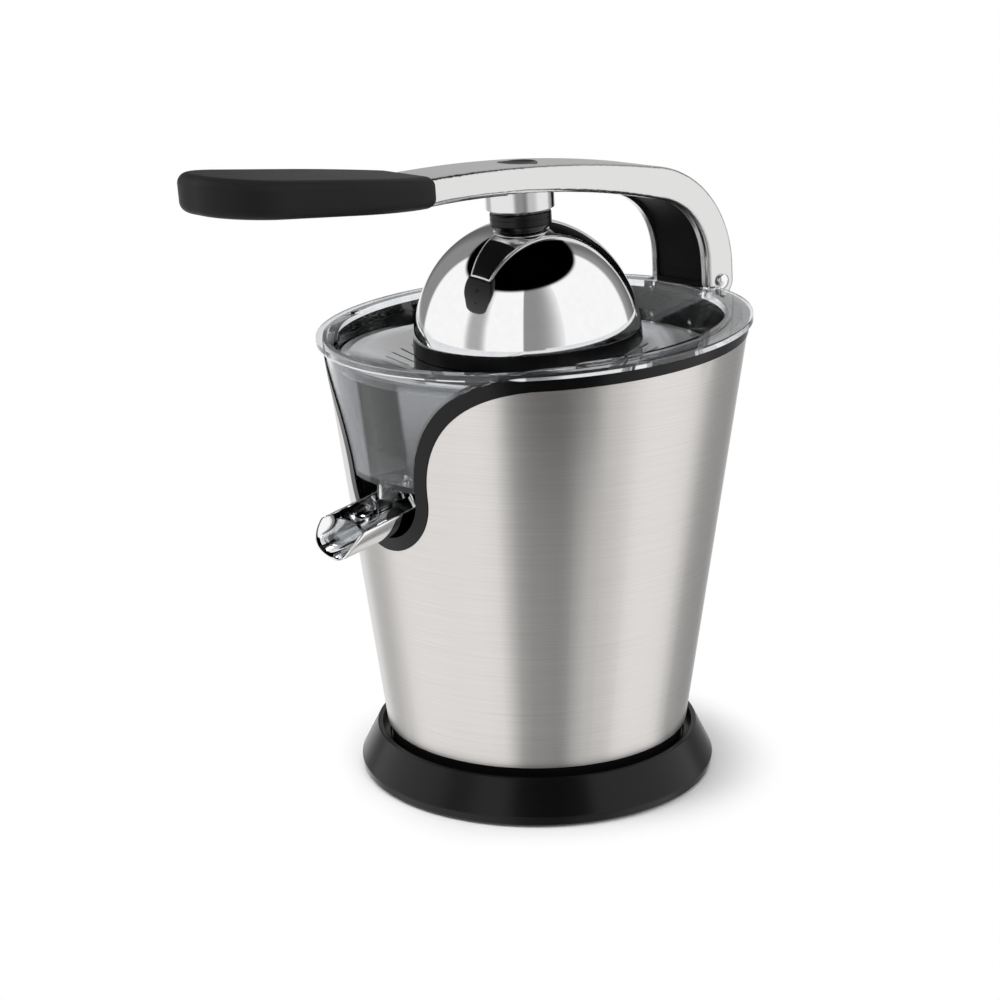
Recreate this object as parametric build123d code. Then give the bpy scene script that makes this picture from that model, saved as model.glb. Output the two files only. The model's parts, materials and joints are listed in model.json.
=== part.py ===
from build123d import *
from math import cos, pi, radians, sin, sqrt, tan
import os

# Electric lever citrus juicer, in millimetres and degrees. The origin is the middle of the base on the
# table, +Z is up, and the spout and the handle point towards -Y.

# Whole body
rim_overhang = 2.25
rim_height = 213.4
deck_tilt = 3.64
drive_offset = 3.5
shell_foot_radius = 71.95
shell_foot_height = 23.6
shell_top_radius = 97.75

# Clearances
fit_gap = 0.15
running_gap = 0.05
moving_gap = 0.4
overrun = 400.0
over_rim = 27.0
under_floor = 22.5

# Base ring, foot ring and bottom cover
foot_proud = 1.0
foot_inner_radius = 72.0
foot_outer_radius = 79.0
foot_height = 3.5
base_bottom_radius = 84.0
base_radius = 84.7
base_lip = 5.0
base_height = 20.8
base_top_radius = 76.6
base_rim_width = 1.2
base_recess = 4.8
base_bulge_height = 0.6
base_bore_radius = 64.0
base_seat = 14.0
base_seat_gap = 0.5
cover_radius = 68.0
cover_low = 2.5
cover_top = 5.8
cover_screw_pitch_radius = 57.0
cover_screw_count = 4
cover_screw_radius = 1.75
cover_head_radius = 3.5
cover_head_height = 2.0
cover_screw_length = 14.0
cover_post_radius = 5.0
cover_post_height = 24.0
inlet_height = 8.5
inlet_radius = 4.5
inlet_bore = 3.2
inlet_flange_radius = 5.5
inlet_flange_seat = 82.0
inlet_flange_depth = 3.0
inlet_inner_end = 70.0
cord_hole_radius = 2.4

# Steel shell, its cut-out and its edge trim
shell_wall = 1.0
slot_half_width = 28.5
slot_height = 150.5
slot_flare_drop = 10.4
trim_width = 6.0
trim_proud = 0.4
trim_depth = 2.8
trim_low = 7.0
trim_hinge_top = 5.6
hinge_notch = 22.0

# Inner housing, and the deck with its shaft tower and spout pocket
housing_gap = 0.2
housing_wall = 1.8
deck_low = 140.0
deck_thickness = 3.0
tower_radius = 11.5
tower_bore = 8.6
tower_drop = 12.0
pocket_half_width = 20.5
pocket_wall = 1.8
pocket_depth = 27.8
pocket_back_gap = 7.0
pocket_top_gap = 1.5
spout_boss_radius = 4.0
seal_height = 4.0

# Juice collector
flange_half = 1.4
rim_bead_width = 2.4
rim_bead_height = 1.0
bowl_inset = 8.75
bowl_taper = 0.17
bowl_wall = 2.0
apron_bottom = 151.8
apron_gap = 0.6
apron_sink = 0.3
floor_slope = 4.0
floor_lead = 0.6
floor_thickness = 2.4
chimney_bore = 13.0
chimney_radius = 15.0
chimney_overlap = 1.5
nozzle_inset = 7.4
nozzle_bore = 5.5
nozzle_radius = 7.2
nozzle_length = 5.8
collector_notch_gap = 0.6
collector_notch_lead = 1.0
ledge_width = 4.0
ledge_height = 3.3

# Sieve
sieve_seat = 200.8
sieve_wall = 1.1
sieve_lip_gap = 3.0
sieve_lip_width = 4.0
sieve_slope_inner = 54.0
sieve_dish_height = 190.5
sieve_middle_height = 189.3
sieve_collar_radius = 24.0
sieve_collar_top = 193.4
sieve_slot_count = 44
sieve_slot_width = 1.3
sieve_slot_inner = 56.0
sieve_slot_margin = 15.0

# Reamer
reamer_base_radius = 52.5
reamer_base_top = 200.5
reamer_base_plate = 3.5
reamer_skirt_wall = 2.5
reamer_skirt_depth = 5.5
reamer_core_radius = 10.0
reamer_core_depth = 11.5
reamer_core_rise = 5.5
labyrinth_radius = 20.0
labyrinth_wall = 2.5
labyrinth_depth = 16.5
cone_radius_low = 33.0
cone_height = 43.0
cone_wall = 2.0
cone_waist_share = 0.72
cone_tip_share = 0.12
rib_stand = 5.0
rib_rise = 2.5
rib_count = 8
rib_width = 3.0

# Spindle, switch and return spring
spindle_radius = 5.0
spindle_lift = 3.5
spindle_hex = 9.0
spindle_relief = 0.8
spindle_hex_lead = 2.0
spindle_rise = 4.5
spindle_collar_radius = 9.0
spindle_collar_drop = 7.0
spindle_collar_height = 3.0
press_stroke = 2.5
washer_thickness = 2.4
washer_radius = 15.0
washer_gap = 0.3
washer_arm_reach = 27.5
washer_arm_width = 6.0
spring_radius = 13.0
spring_wire = 1.3
spring_turns = 4
switch_near = 18.5
switch_far = 30.5
switch_depth = 8.0
switch_height = 8.6
button_radius = 1.6
button_height = 7.4
button_gap = 0.3

# Gear train and gearbox
gear_module = 1.0
pinion_teeth = 12
idler_teeth = 58
idler_small_teeth = 14
output_teeth = 56
tooth_share = 0.84
addendum_share = 0.85
dedendum_share = 1.25
flank_angle = 20.0
case_height = 28.0
case_floor = 2.5
case_drop = 26.0
case_wall = 2.5
case_room = 31.5
lid_thickness = 3.0
ear_reach = 38.0
ear_radius = 5.0
ear_height = 4.0
ear_spread = 14.0
gearbox_screw_radius = 1.9
gearbox_head_radius = 3.6
gearbox_head_height = 2.4
gearbox_screw_length = 16.0
pinion_lift = 5.0
pinion_height = 8.0
idler_lift = 5.5
idler_height = 7.0
idler_small_height = 10.5
idler_pin_radius = 3.0
output_lift = 14.0
output_height = 8.0
hub_radius = 9.0
hub_shoulder_radius = 11.0
hub_shoulder_gap = 0.4
hub_stand = 2.8
bush_radius = 11.6
clip_radius = 11.2
clip_groove = 0.8
clip_stand = 0.5
clip_height = 1.1

# Motor
motor_radius = 30.0
motor_low = 24.0
motor_wall = 1.6
motor_top_plate = 2.4
motor_cap_height = 3.5
motor_shaft_radius = 3.0
motor_shaft_tail = 2.5
motor_shaft_nose = 0.4
motor_bush_radius = 6.0
motor_bush_height = 5.0
stator_inner = 18.8
stator_lift = 10.0
stator_drop = 11.85
rotor_radius = 18.2
motor_screw_pitch_radius = 20.0
motor_screw_count = 3
motor_screw_radius = 1.5
motor_head_radius = 2.8
motor_head_height = 1.8
motor_screw_length = 4.2
case_shaft_hole = 8.5

# Lever arm, in the tilted frame of the rim
arm_front = 65.0
arm_top_front = 76.8
arm_low_front = 64.9
arm_mid = 2.0
arm_top_mid = 73.3
arm_low_mid = 61.0
bend_angle = 80.0
bend_top_radius = 54.4
bend_top_height = 10.0
bend_low_radius = 35.0
bend_low_height = 14.0
leg_inset = 5.25
leg_depth = 17.1
arm_half_front = 15.7
arm_half_rear = 20.9
arm_edge = 2.6
cheek = 5.0
web = 3.0
channel_front = 13.0
fork_top = 12.0
liner_recess = 1.6
liner_thickness = 4.0
liner_end = 4.3
tang_half_width = 9.0
tang_thickness = 6.0
tang_length = 86.0
tang_middle = 71.0

# Hinge
pin_height = 3.5
pin_radius = 2.5
pin_head_radius = 3.6
pin_head_height = 2.2
pin_head_dome = 1.9
knuckle_radius = 6.6
bracket_half_width = 21.3
bracket_low = 186.0
bracket_top = 6.0
bracket_inner_gap = 0.6
neck_lead_low = 3.1
neck_lead_high = 0.3
neck_step = 2.0
neck_low = 8.0
neck_under = 5.2
bracket_screw_spread = 14.0
bracket_screw_heights = (192.0, 203.0)
bracket_screw_radius = 1.75
bracket_head_radius = 3.2
bracket_head_height = 1.6
bracket_clamp = 3.0
bracket_screw_bite = 1.3

# Grip, in the tilted frame of the rim
grip_start = 63.9
grip_end = 171.5
grip_half_start = 17.6
grip_half_mid = 26.0
grip_mid = 84.0
grip_half_end = 29.5
grip_corner = 26.0
grip_straight = 116.0
grip_low_start = 64.0
grip_top_start = 77.9
grip_low_end = 76.6
grip_top_end = 93.0
grip_edge = 4.5
grip_screw_places = (88.0, 124.0)
grip_screw_radius = 2.0
grip_head_radius = 4.0
grip_head_height = 2.6
grip_head_sink = 1.2

# Dome, neck and stud, in the tilted frame of the rim
dome_reach = 4.2
dome_drop = 8.8
dome_radius = 52.7
dome_rise = 57.5
dome_side_radius = 65.0
dome_wall = 1.0
liner_gap = 0.3
liner_wall = 2.3
liner_lift = 0.8
neck_bush_radius = 14.0
neck_bush_top = 52.4
neck_bush_edge = 1.2
spigot_radius = 9.0
spigot_bottom = 38.8
dome_nut_flats = 26.0
dome_nut_height = 4.0
ball_height = 47.0
ball_radius = 6.0
ball_gap = 0.2
stud_radius = 4.0
stud_top = 70.2
socket_mouth = 5.2
collar_radius = 15.7
collar_bottom = 53.7
collar_top = 63.0
stud_nut_flats = 13.0
stud_nut_low = 66.6
stud_nut_height = 3.4
plug_radius = 8.9
plug_low = 71.0
plug_top = 74.9
plug_edge = 0.8

# Spout, in a frame at its pivot that slopes with it
spout_throat = 20.0
spout_pivot_drop = 5.8
spout_slope = 12.5
spout_radius = 16.5
spout_wall = 1.2
spout_axis_lift = 5.5
spout_edge_drop = 3.0
spout_root = 3.0
spout_mouth = 45.0
spout_lip_reach = 53.0
spout_lip_drop = 4.0
spout_tip = 56.5
spout_tip_drop = 11.0
spout_hub_radius = 3.4
spout_pin_radius = 1.5
seal_place = 20.5
seal_stem_radius = 4.4
seal_top = 1.4

# Worked out from the sizes above

def cone_at(height, inset=0):
    """Radius of the body's cone at a height, drawn in by an inset."""
    rise = (height - shell_foot_height) / (rim_height - shell_foot_height)
    return shell_foot_radius + rise * (shell_top_radius - shell_foot_radius) - inset


housing_inset = shell_wall + housing_gap
housing_room = housing_inset + housing_wall
slot_flare = rim_height - slot_flare_drop - slot_height
drive_y = -drive_offset

rim_radius = shell_top_radius + rim_overhang
bowl_radius = shell_top_radius - bowl_inset
floor_front = cone_at(apron_bottom) + floor_lead
nozzle_reach = cone_at(apron_bottom) - nozzle_inset
nozzle_bottom = apron_bottom - nozzle_length
sieve_lip_radius = bowl_radius - sieve_lip_gap
sieve_slope_outer = sieve_lip_radius - sieve_lip_width
sieve_slot_outer = sieve_slope_outer - sieve_slot_margin

spout_pivot_reach = nozzle_reach - spout_throat
spout_pivot_height = apron_bottom - spout_pivot_drop
pocket_back = spout_pivot_reach - pocket_back_gap
pocket_floor = apron_bottom - pocket_depth
pocket_top = apron_bottom - pocket_top_gap

reamer_skirt_bottom = reamer_base_top - reamer_skirt_depth
reamer_core_bottom = reamer_base_top - reamer_core_depth
reamer_core_top = reamer_base_top + reamer_core_rise
labyrinth_bottom = reamer_base_top - labyrinth_depth
chimney_top = labyrinth_bottom + chimney_overlap
tower_top = labyrinth_bottom - tower_drop

deck_top = deck_low + deck_thickness
case_top = deck_low - case_drop
case_low = case_top - case_height
lid_low = case_top
lid_top = lid_low + lid_thickness
centre_distance = gear_module * (pinion_teeth + idler_teeth) / 2
idler_y = drive_y + centre_distance
pinion_low = case_low + pinion_lift
idler_low = case_low + idler_lift
output_low = case_low + output_lift
hub_shoulder_top = case_top - hub_shoulder_gap
hub_top = lid_top + hub_stand
clip_low = lid_top + clip_stand

spindle_bottom = output_low + spindle_lift
spindle_hex_low_top = hub_top + press_stroke + spindle_relief
spindle_hex_high_bottom = reamer_core_bottom - spindle_hex_lead
spindle_top = reamer_base_top + spindle_rise
spindle_collar_bottom = deck_low - spindle_collar_drop
washer_top = spindle_collar_bottom - washer_gap
washer_low = washer_top - washer_thickness

motor_top = case_low - fit_gap
motor_shaft_low = motor_low - motor_shaft_tail
motor_shaft_top = pinion_low + pinion_height + motor_shaft_nose
stator_low = motor_low + stator_lift
stator_height = motor_top - stator_drop - stator_low

leg_front = shell_top_radius - leg_inset
leg_rear = leg_front + leg_depth
pin_reach = (leg_front + leg_rear) / 2
neck_front_low = leg_front - neck_lead_low
neck_front_high = leg_front - neck_lead_high
collector_notch_depth = leg_front - collector_notch_lead
grip_rise = (grip_low_end - grip_low_start) / (grip_end - grip_start)

dome_crown_radius = 2 * dome_radius * dome_side_radius - dome_radius**2 - dome_rise**2
dome_crown_radius /= 2 * (dome_side_radius - dome_rise)

deck = Location((0, 0, rim_height), (deck_tilt, 0, 0))
dome_frame = deck * Pos(0, -dome_reach, 0)
spout_frame = Location((0, -spout_pivot_reach, spout_pivot_height), (spout_slope, 0, 0))


# Shapes used by many pieces

def block(low, high):
    """Box between two opposite corners."""
    middle = [(a + b) / 2 for a, b in zip(low, high)]
    size = [b - a for a, b in zip(low, high)]
    return Pos(*middle) * Box(*size)


def disc(radius, low, high, x=0, y=0):
    """Upright cylinder between two heights."""
    return Pos(x, y, (low + high) / 2) * Cylinder(radius, high - low)


def ring(outer, inner, low, high, x=0, y=0):
    """Upright tube between two heights."""
    return disc(outer, low, high, x, y) - disc(inner, low - overrun, high + overrun, x, y)


def hexagon(flats, low, high, y=0):
    """Upright hexagonal bar, measured across its flats."""
    face = RegularPolygon(flats / 2, 6, major_radius=False)
    return Pos(0, y, low) * extrude(face, high - low)


def turned(outline, y=0):
    """Closed outline of (radius, height) points turned about an upright axis."""
    face = make_face(Plane.XZ * Polyline(*outline, close=True))
    return Pos(0, y, 0) * revolve(face, Axis.Z)


def cross_rod(radius, start, end, y, z):
    """Cylinder along X between two places."""
    return Pos((start + end) / 2, y, z) * Rot(0, 90, 0) * Cylinder(radius, end - start)


def long_rod(radius, start, end, x, z):
    """Cylinder along Y between two places."""
    return Pos(x, (start + end) / 2, z) * Rot(90, 0, 0) * Cylinder(radius, end - start)


def arc_middle(centre, radius, first, last):
    """Point halfway along an arc given by its angles in degrees."""
    angle = radians((first + last) / 2)
    return (centre[0] + radius * cos(angle), centre[1] + radius * sin(angle))


def cone_body(inset, low=base_seat + fit_gap, high=rim_height + over_rim):
    """Solid cone of the body, drawn in by an inset."""
    return turned([(0, low), (cone_at(low, inset), low), (cone_at(high, inset), high), (0, high)])


def below_deck(level):
    """Everything under a plane parallel to the rim."""
    return deck * block((-overrun, -overrun, -overrun), (overrun, overrun, level))


def above_deck(level):
    """Everything over a plane parallel to the rim."""
    return deck * block((-overrun, -overrun, level), (overrun, overrun, overrun))


def cut_out(inset):
    """Front cut-out with a round bottom and flared sides, drawn in by an inset, as a prism."""
    half = slot_half_width - inset
    flare = slot_flare + inset
    side = slot_half_width + slot_flare
    top = slot_height + flare
    right_middle = arc_middle((side, slot_height), flare, 180, 90)
    left_middle = (-right_middle[0], right_middle[1])
    edge = ThreePointArc((-half, slot_height), (0, slot_height - half), (half, slot_height))
    edge += ThreePointArc((half, slot_height), right_middle, (side, top))
    edge += Polyline((side, top), (side, overrun), (-side, overrun), (-side, top))
    edge += ThreePointArc((-side, top), left_middle, (-half, slot_height))
    return extrude(make_face(Plane.XZ * edge), overrun, dir=(0, -1, 0))


def bowl_at(height, stand=0):
    """Inner radius of the collector's bowl at a height, let out by a stand."""
    return bowl_radius - bowl_taper * (rim_height - height) + stand


def bowl_body(stand, low=apron_bottom - under_floor, high=rim_height + over_rim):
    """Solid of the bowl's inside, let out by a stand."""
    outline = [(0, low), (bowl_at(low, stand), low), (bowl_at(high, stand), high), (0, high)]
    return turned(outline, drive_y)


# Base

def foot_ring():
    return ring(foot_outer_radius, foot_inner_radius, 0, foot_height)


def base_ring():
    lip = (base_radius, base_lip)
    top = (base_top_radius, base_height)
    swell_radius = (base_radius + base_top_radius) / 2 + base_bulge_height
    swell = (swell_radius, (base_lip + base_height) / 2 + base_bulge_height)
    rim_inner = base_top_radius - base_rim_width
    recess_floor = base_height - base_recess
    edge = Line((base_bottom_radius, foot_proud), lip) + ThreePointArc(lip, swell, top)
    edge += Polyline(
        top,
        (rim_inner, base_height),
        (rim_inner, recess_floor),
        (cone_at(recess_floor, housing_inset) + base_seat_gap, recess_floor),
        (cone_at(base_seat, housing_inset) + base_seat_gap, base_seat),
        (base_bore_radius, base_seat),
        (base_bore_radius, cover_top + fit_gap),
        (cover_radius + fit_gap, cover_top + fit_gap),
        (cover_radius + fit_gap, foot_proud),
        (base_bottom_radius, foot_proud),
    )
    body = revolve(make_face(Plane.XZ * edge), Axis.Z)
    groove = ring(foot_outer_radius + fit_gap, foot_inner_radius - fit_gap, 0, foot_height + fit_gap)
    gland = long_rod(inlet_radius + fit_gap, inlet_inner_end - fit_gap, overrun, 0, inlet_height)
    flange = long_rod(inlet_flange_radius + fit_gap, inlet_flange_seat, overrun, 0, inlet_height)
    cord_hole = long_rod(cord_hole_radius, 0, inlet_inner_end, 0, inlet_height)
    return body - groove - gland - flange - cord_hole


def cord_inlet():
    outer_end = inlet_flange_seat + inlet_flange_depth
    sleeve = long_rod(inlet_radius, inlet_inner_end, outer_end, 0, inlet_height)
    flange = long_rod(inlet_flange_radius, inlet_flange_seat + fit_gap, outer_end, 0, inlet_height)
    return sleeve + flange - long_rod(inlet_bore, 0, overrun, 0, inlet_height)


def cover_screw_spots():
    first = 360 / cover_screw_count / 2
    return PolarLocations(cover_screw_pitch_radius, cover_screw_count, start_angle=first)


def bottom_cover():
    plate = disc(cover_radius, cover_low, cover_top)
    holes = disc(cover_screw_radius + fit_gap, 0, overrun)
    heads = disc(cover_head_radius + fit_gap, 0, cover_low + cover_head_height)
    for spot in cover_screw_spots():
        plate -= spot * (holes + heads)
    return plate


def cover_screws():
    head_low = cover_low + fit_gap
    head = disc(cover_head_radius, head_low, cover_low + cover_head_height)
    screw = head + disc(cover_screw_radius, cover_low + cover_head_height, cover_low + cover_screw_length)
    return Compound(children=[spot * screw for spot in cover_screw_spots()])


# Shell, trim and inner housing

def outer_shell():
    wall = cone_body(0, shell_foot_height) - cone_body(shell_wall)
    wall = wall & below_deck(-trim_low - fit_gap)
    return wall - cut_out(-fit_gap)


def edge_trim():
    wall = cone_body(-trim_proud) - cone_body(trim_depth)
    edge = wall & (cut_out(0) + above_deck(-trim_low))
    edge = (edge & below_deck(-flange_half - fit_gap)) - cut_out(trim_width)
    notch = deck * block((-hinge_notch, 0, -trim_hinge_top), (hinge_notch, overrun, overrun))
    return edge - notch


def gear_posts():
    """Places of the gearbox screws: two on each side of the case."""
    middle = (drive_y + idler_y) / 2
    return [(x, middle + y) for x in (-ear_reach, ear_reach) for y in (-ear_spread, ear_spread)]


def inner_housing():
    body = (cone_body(housing_inset) - cone_body(housing_room)) & below_deck(-trim_low - fit_gap)
    body -= cut_out(-fit_gap)
    post = disc(cover_post_radius, cover_top + fit_gap, cover_post_height)
    rib_low = base_seat + base_seat_gap
    rib_end = cone_at(rib_low, housing_room) - cover_screw_pitch_radius + housing_wall / 2
    post += block((0, -housing_wall / 2, rib_low), (rib_end, housing_wall / 2, cover_post_height))
    hole = disc(cover_screw_radius + fit_gap, 0, cover_low + cover_screw_length + fit_gap)
    for spot in cover_screw_spots():
        body += spot * post
        body -= spot * hole
    for x, wall, z in bracket_screw_spots():
        body -= long_rod(bracket_screw_radius + fit_gap, 0, wall + bracket_screw_bite, x, z)
    return body


def drive_deck():
    inside = cone_body(housing_room + fit_gap)
    body = cone_body(housing_room + fit_gap, deck_low, deck_top)
    side = pocket_half_width + pocket_wall
    low = pocket_floor - pocket_wall
    pocket = block((-side, -cone_at(pocket_floor), low), (side, -pocket_back + pocket_wall, pocket_top))
    body += pocket & (inside + (cone_body(trim_depth + fit_gap) & cut_out(fit_gap)))
    body -= block((-pocket_half_width, -overrun, pocket_floor), (pocket_half_width, -pocket_back, overrun))
    boss_inner = spout_radius + moving_gap
    for start, end in ((-side, -boss_inner), (boss_inner, side)):
        body += cross_rod(spout_boss_radius, start, end, -spout_pivot_reach, spout_pivot_height)
    hole_radius = spout_pin_radius + running_gap
    body -= cross_rod(hole_radius, -side, side, -spout_pivot_reach, spout_pivot_height)
    body += disc(tower_radius, deck_low, tower_top, 0, drive_y)
    body -= disc(tower_bore, 0, overrun, 0, drive_y)
    for x, y in gear_posts():
        body += disc(ear_radius, lid_top + fit_gap, deck_low, x, y)
        body -= disc(gearbox_screw_radius + fit_gap, 0, deck_low, x, y)
    return body


def shaft_seal():
    low = tower_top - seal_height
    return ring(tower_bore - fit_gap, spindle_radius + running_gap, low, tower_top, 0, drive_y)


# Juice collector and sieve

def over_floor(lift):
    """Everything over the collector's sloping floor, raised by a lift."""
    place = Location((0, -floor_front, apron_bottom + lift), (floor_slope, 0, 0))
    return place * block((-overrun, -overrun, 0), (overrun, overrun, overrun))


def juice_collector():
    outline = apron_gap + trim_width
    apron = cut_out(outline) & cone_body(apron_sink)
    apron_inside = cut_out(outline + bowl_wall) & cone_body(apron_sink + bowl_wall)
    body = (bowl_body(bowl_wall) + apron) & over_floor(0) & below_deck(flange_half)
    inside = (bowl_body(0) + apron_inside) & over_floor(floor_thickness)
    flange = deck * disc(rim_radius, -flange_half, flange_half)
    notch = arm_half_at(leg_rear) + collector_notch_gap
    flange -= deck * block((-notch, collector_notch_depth, -overrun), (notch, overrun, overrun))
    bead = bowl_body(rim_bead_width) & above_deck(0) & below_deck(flange_half + rim_bead_height)
    body = body + flange + bead - inside
    wall = bowl_at(sieve_seat)
    ledge = ring(wall + bowl_wall / 2, wall - ledge_width, sieve_seat - ledge_height, sieve_seat)
    body += Pos(0, drive_y, 0) * ledge
    chimney = disc(chimney_radius, apron_bottom, chimney_top, 0, drive_y)
    nozzle = disc(nozzle_radius, nozzle_bottom, apron_bottom + floor_thickness, 0, -nozzle_reach)
    body += (chimney & over_floor(0)) + nozzle
    body -= disc(chimney_bore, 0, overrun, 0, drive_y)
    return body - disc(nozzle_bore, 0, sieve_dish_height, 0, -nozzle_reach)


def sieve():
    low = sieve_seat + fit_gap
    collar_outer = sieve_collar_radius + sieve_wall
    dish = turned(
        [
            (sieve_lip_radius, low),
            (sieve_slope_outer, low),
            (sieve_slope_inner, sieve_dish_height),
            (sieve_collar_radius, sieve_middle_height),
            (sieve_collar_radius, sieve_collar_top),
            (collar_outer, sieve_collar_top),
            (collar_outer, sieve_middle_height + sieve_wall),
            (sieve_slope_inner, sieve_dish_height + sieve_wall),
            (sieve_slope_outer, low + sieve_wall),
            (sieve_lip_radius, low + sieve_wall),
        ]
    )
    slot = block(
        (sieve_slot_inner, -sieve_slot_width / 2, 0), (sieve_slot_outer, sieve_slot_width / 2, overrun)
    )
    dish -= [spot * slot for spot in PolarLocations(0, sieve_slot_count)]
    return Pos(0, drive_y, 0) * dish


# Reamer

def reamer_base():
    plate_low = reamer_base_top - reamer_base_plate
    body = disc(reamer_base_radius, plate_low, reamer_base_top)
    body += ring(
        reamer_base_radius, reamer_base_radius - reamer_skirt_wall, reamer_skirt_bottom, reamer_base_top
    )
    body += ring(labyrinth_radius, labyrinth_radius - labyrinth_wall, labyrinth_bottom, reamer_base_top)
    body += disc(reamer_core_radius, reamer_core_bottom, reamer_core_top)
    body -= hexagon(spindle_hex + fit_gap, 0, spindle_top + fit_gap)
    return Pos(0, drive_y, 0) * body


def ogive(radius, height):
    """Pointed dome with a blunt tip, standing on its base."""
    tip = (radius * cone_tip_share, height)
    side = ThreePointArc((radius, 0), (radius * cone_waist_share, height / 2), tip)
    edge = side + Polyline(tip, (0, height), (0, 0), (radius, 0))
    return revolve(make_face(Plane.XZ * edge), Axis.Z)


def reamer_cone():
    body = ogive(cone_radius_low, cone_height)
    envelope = ogive(cone_radius_low + rib_stand, cone_height + rib_rise)
    rib = block((0, -rib_width / 2, 0), (cone_radius_low + rib_stand, rib_width / 2, overrun))
    for spot in PolarLocations(0, rib_count):
        body += spot * rib & envelope
    body -= ogive(cone_radius_low - cone_wall, cone_height - cone_wall)
    return Pos(0, drive_y, reamer_base_top) * body


# Drive

def drive_spindle():
    body = hexagon(spindle_hex, spindle_bottom, spindle_hex_low_top)
    body += disc(spindle_radius, spindle_hex_low_top, spindle_hex_high_bottom)
    body += hexagon(spindle_hex, spindle_hex_high_bottom, spindle_top)
    collar_top = spindle_collar_bottom + spindle_collar_height
    return Pos(0, drive_y, 0) * (body + disc(spindle_collar_radius, spindle_collar_bottom, collar_top))


def press_washer():
    body = disc(washer_radius, washer_low, washer_top)
    half = washer_arm_width / 2
    body += block((0, -half, washer_low), (washer_arm_reach, half, washer_top))
    return Pos(0, drive_y, 0) * (body - disc(spindle_radius + moving_gap, 0, overrun))


def return_spring():
    low = lid_top + spring_wire / 2 + fit_gap
    height = washer_low - spring_wire / 2 - fit_gap - low
    coil = Helix(height / spring_turns, height, spring_radius)
    section = Plane(origin=coil @ 0, z_dir=coil % 0) * Circle(spring_wire / 2)
    return Pos(0, drive_y, low) * sweep(section, path=coil)


def switch_middle():
    return (switch_near + switch_far) / 2


def button_top():
    return washer_low - button_gap


def microswitch():
    half = switch_depth / 2
    body = block((switch_near, -half, lid_top + fit_gap), (switch_far, half, lid_top + switch_height))
    room_low = button_top() - button_height - press_stroke - moving_gap
    body -= disc(button_radius + running_gap * 2, room_low, overrun, switch_middle())
    return Pos(0, drive_y, 0) * body


def switch_button():
    return disc(button_radius, button_top() - button_height, button_top(), switch_middle(), drive_y)


def gear(teeth, low, high, first_angle):
    """Spur gear with straight flanks and one tooth centred on the first angle."""
    pitch_radius = gear_module * teeth / 2
    half_tooth = gear_module * pi / 4 * tooth_share
    tip = pitch_radius + gear_module * addendum_share
    root = pitch_radius - gear_module * dedendum_share
    slope = tan(radians(flank_angle))
    points = []
    for tooth in range(teeth):
        middle = radians(first_angle + 360 * tooth / teeth)
        for radius, side in ((root, -1), (tip, -1), (tip, 1), (root, 1)):
            half = (half_tooth - (radius - pitch_radius) * slope) / radius
            angle = middle + side * half
            points.append((radius * cos(angle), radius * sin(angle)))
    return Pos(0, 0, low) * extrude(make_face(Polyline(*points, close=True)), high - low)


def motor_pinion():
    body = gear(pinion_teeth, pinion_low, pinion_low + pinion_height, 90)
    return Pos(0, drive_y, 0) * (body - disc(motor_shaft_radius + running_gap, 0, overrun))


def idler_gear():
    top = idler_low + idler_height
    body = gear(idler_teeth, idler_low, top, 270 + 180 / idler_teeth)
    body += gear(idler_small_teeth, top, top + idler_small_height, 270 + 180 / idler_small_teeth)
    return Pos(0, idler_y, 0) * (body - disc(idler_pin_radius + running_gap, 0, overrun))


def idler_pin():
    return disc(idler_pin_radius, case_low + fit_gap, lid_top - fit_gap, 0, idler_y)


def output_gear():
    top = output_low + output_height
    body = gear(output_teeth, output_low, top, 90)
    body += disc(hub_shoulder_radius, top, hub_shoulder_top) + disc(hub_radius, top, hub_top)
    body -= ring(overrun, hub_radius - clip_groove, clip_low, clip_low + clip_height)
    return Pos(0, drive_y, 0) * (body - hexagon(spindle_hex + 2 * running_gap, 0, overrun))


def gear_clip():
    inner = hub_radius - clip_groove + running_gap
    top = clip_low + clip_height - running_gap
    return ring(clip_radius, inner, clip_low + running_gap, top, 0, drive_y)


def output_bush():
    return ring(bush_radius, hub_radius + running_gap, lid_low + fit_gap, lid_top, 0, drive_y)


def gearbox_plan(radius, low, high):
    """Round-ended block over the drive axis and the idler axis."""
    body = disc(radius, low, high, 0, drive_y) + disc(radius, low, high, 0, idler_y)
    return body + block((-radius, drive_y, low), (radius, idler_y, high))


def gearbox_ears(low, high):
    ears = [disc(ear_radius, low, high, x, y) for x, y in gear_posts()]
    holes = [disc(gearbox_screw_radius + fit_gap, 0, overrun, x, y) for x, y in gear_posts()]
    return ears, holes


def motor_screw_spots():
    return PolarLocations(motor_screw_pitch_radius, motor_screw_count, start_angle=30)


def gearbox_case():
    ears, holes = gearbox_ears(case_top - ear_height, case_top)
    body = gearbox_plan(case_room + case_wall, case_low, case_top)
    for ear in ears:
        body += ear
    body -= gearbox_plan(case_room, case_low + case_floor, overrun)
    for hole in holes:
        body -= hole
    body -= disc(case_shaft_hole, 0, overrun, 0, drive_y)
    body -= disc(idler_pin_radius + fit_gap, 0, overrun, 0, idler_y)
    for spot in motor_screw_spots():
        body -= Pos(0, drive_y, 0) * spot * disc(motor_screw_radius + fit_gap, 0, overrun)
    return body


def gearbox_lid():
    ears, holes = gearbox_ears(lid_low, lid_top)
    body = gearbox_plan(case_room + case_wall, lid_low, lid_top)
    for ear in ears:
        body += ear
    for hole in holes:
        body -= hole
    body -= disc(bush_radius + running_gap, 0, overrun, 0, drive_y)
    return body - disc(idler_pin_radius + fit_gap, 0, overrun, 0, idler_y)


def gearbox_screws():
    seat = case_top - ear_height
    head = disc(gearbox_head_radius, seat - gearbox_head_height, seat)
    screw = head + disc(gearbox_screw_radius, seat, seat + gearbox_screw_length)
    return Compound(children=[Pos(x, y, 0) * screw for x, y in gear_posts()])


# Motor

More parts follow.
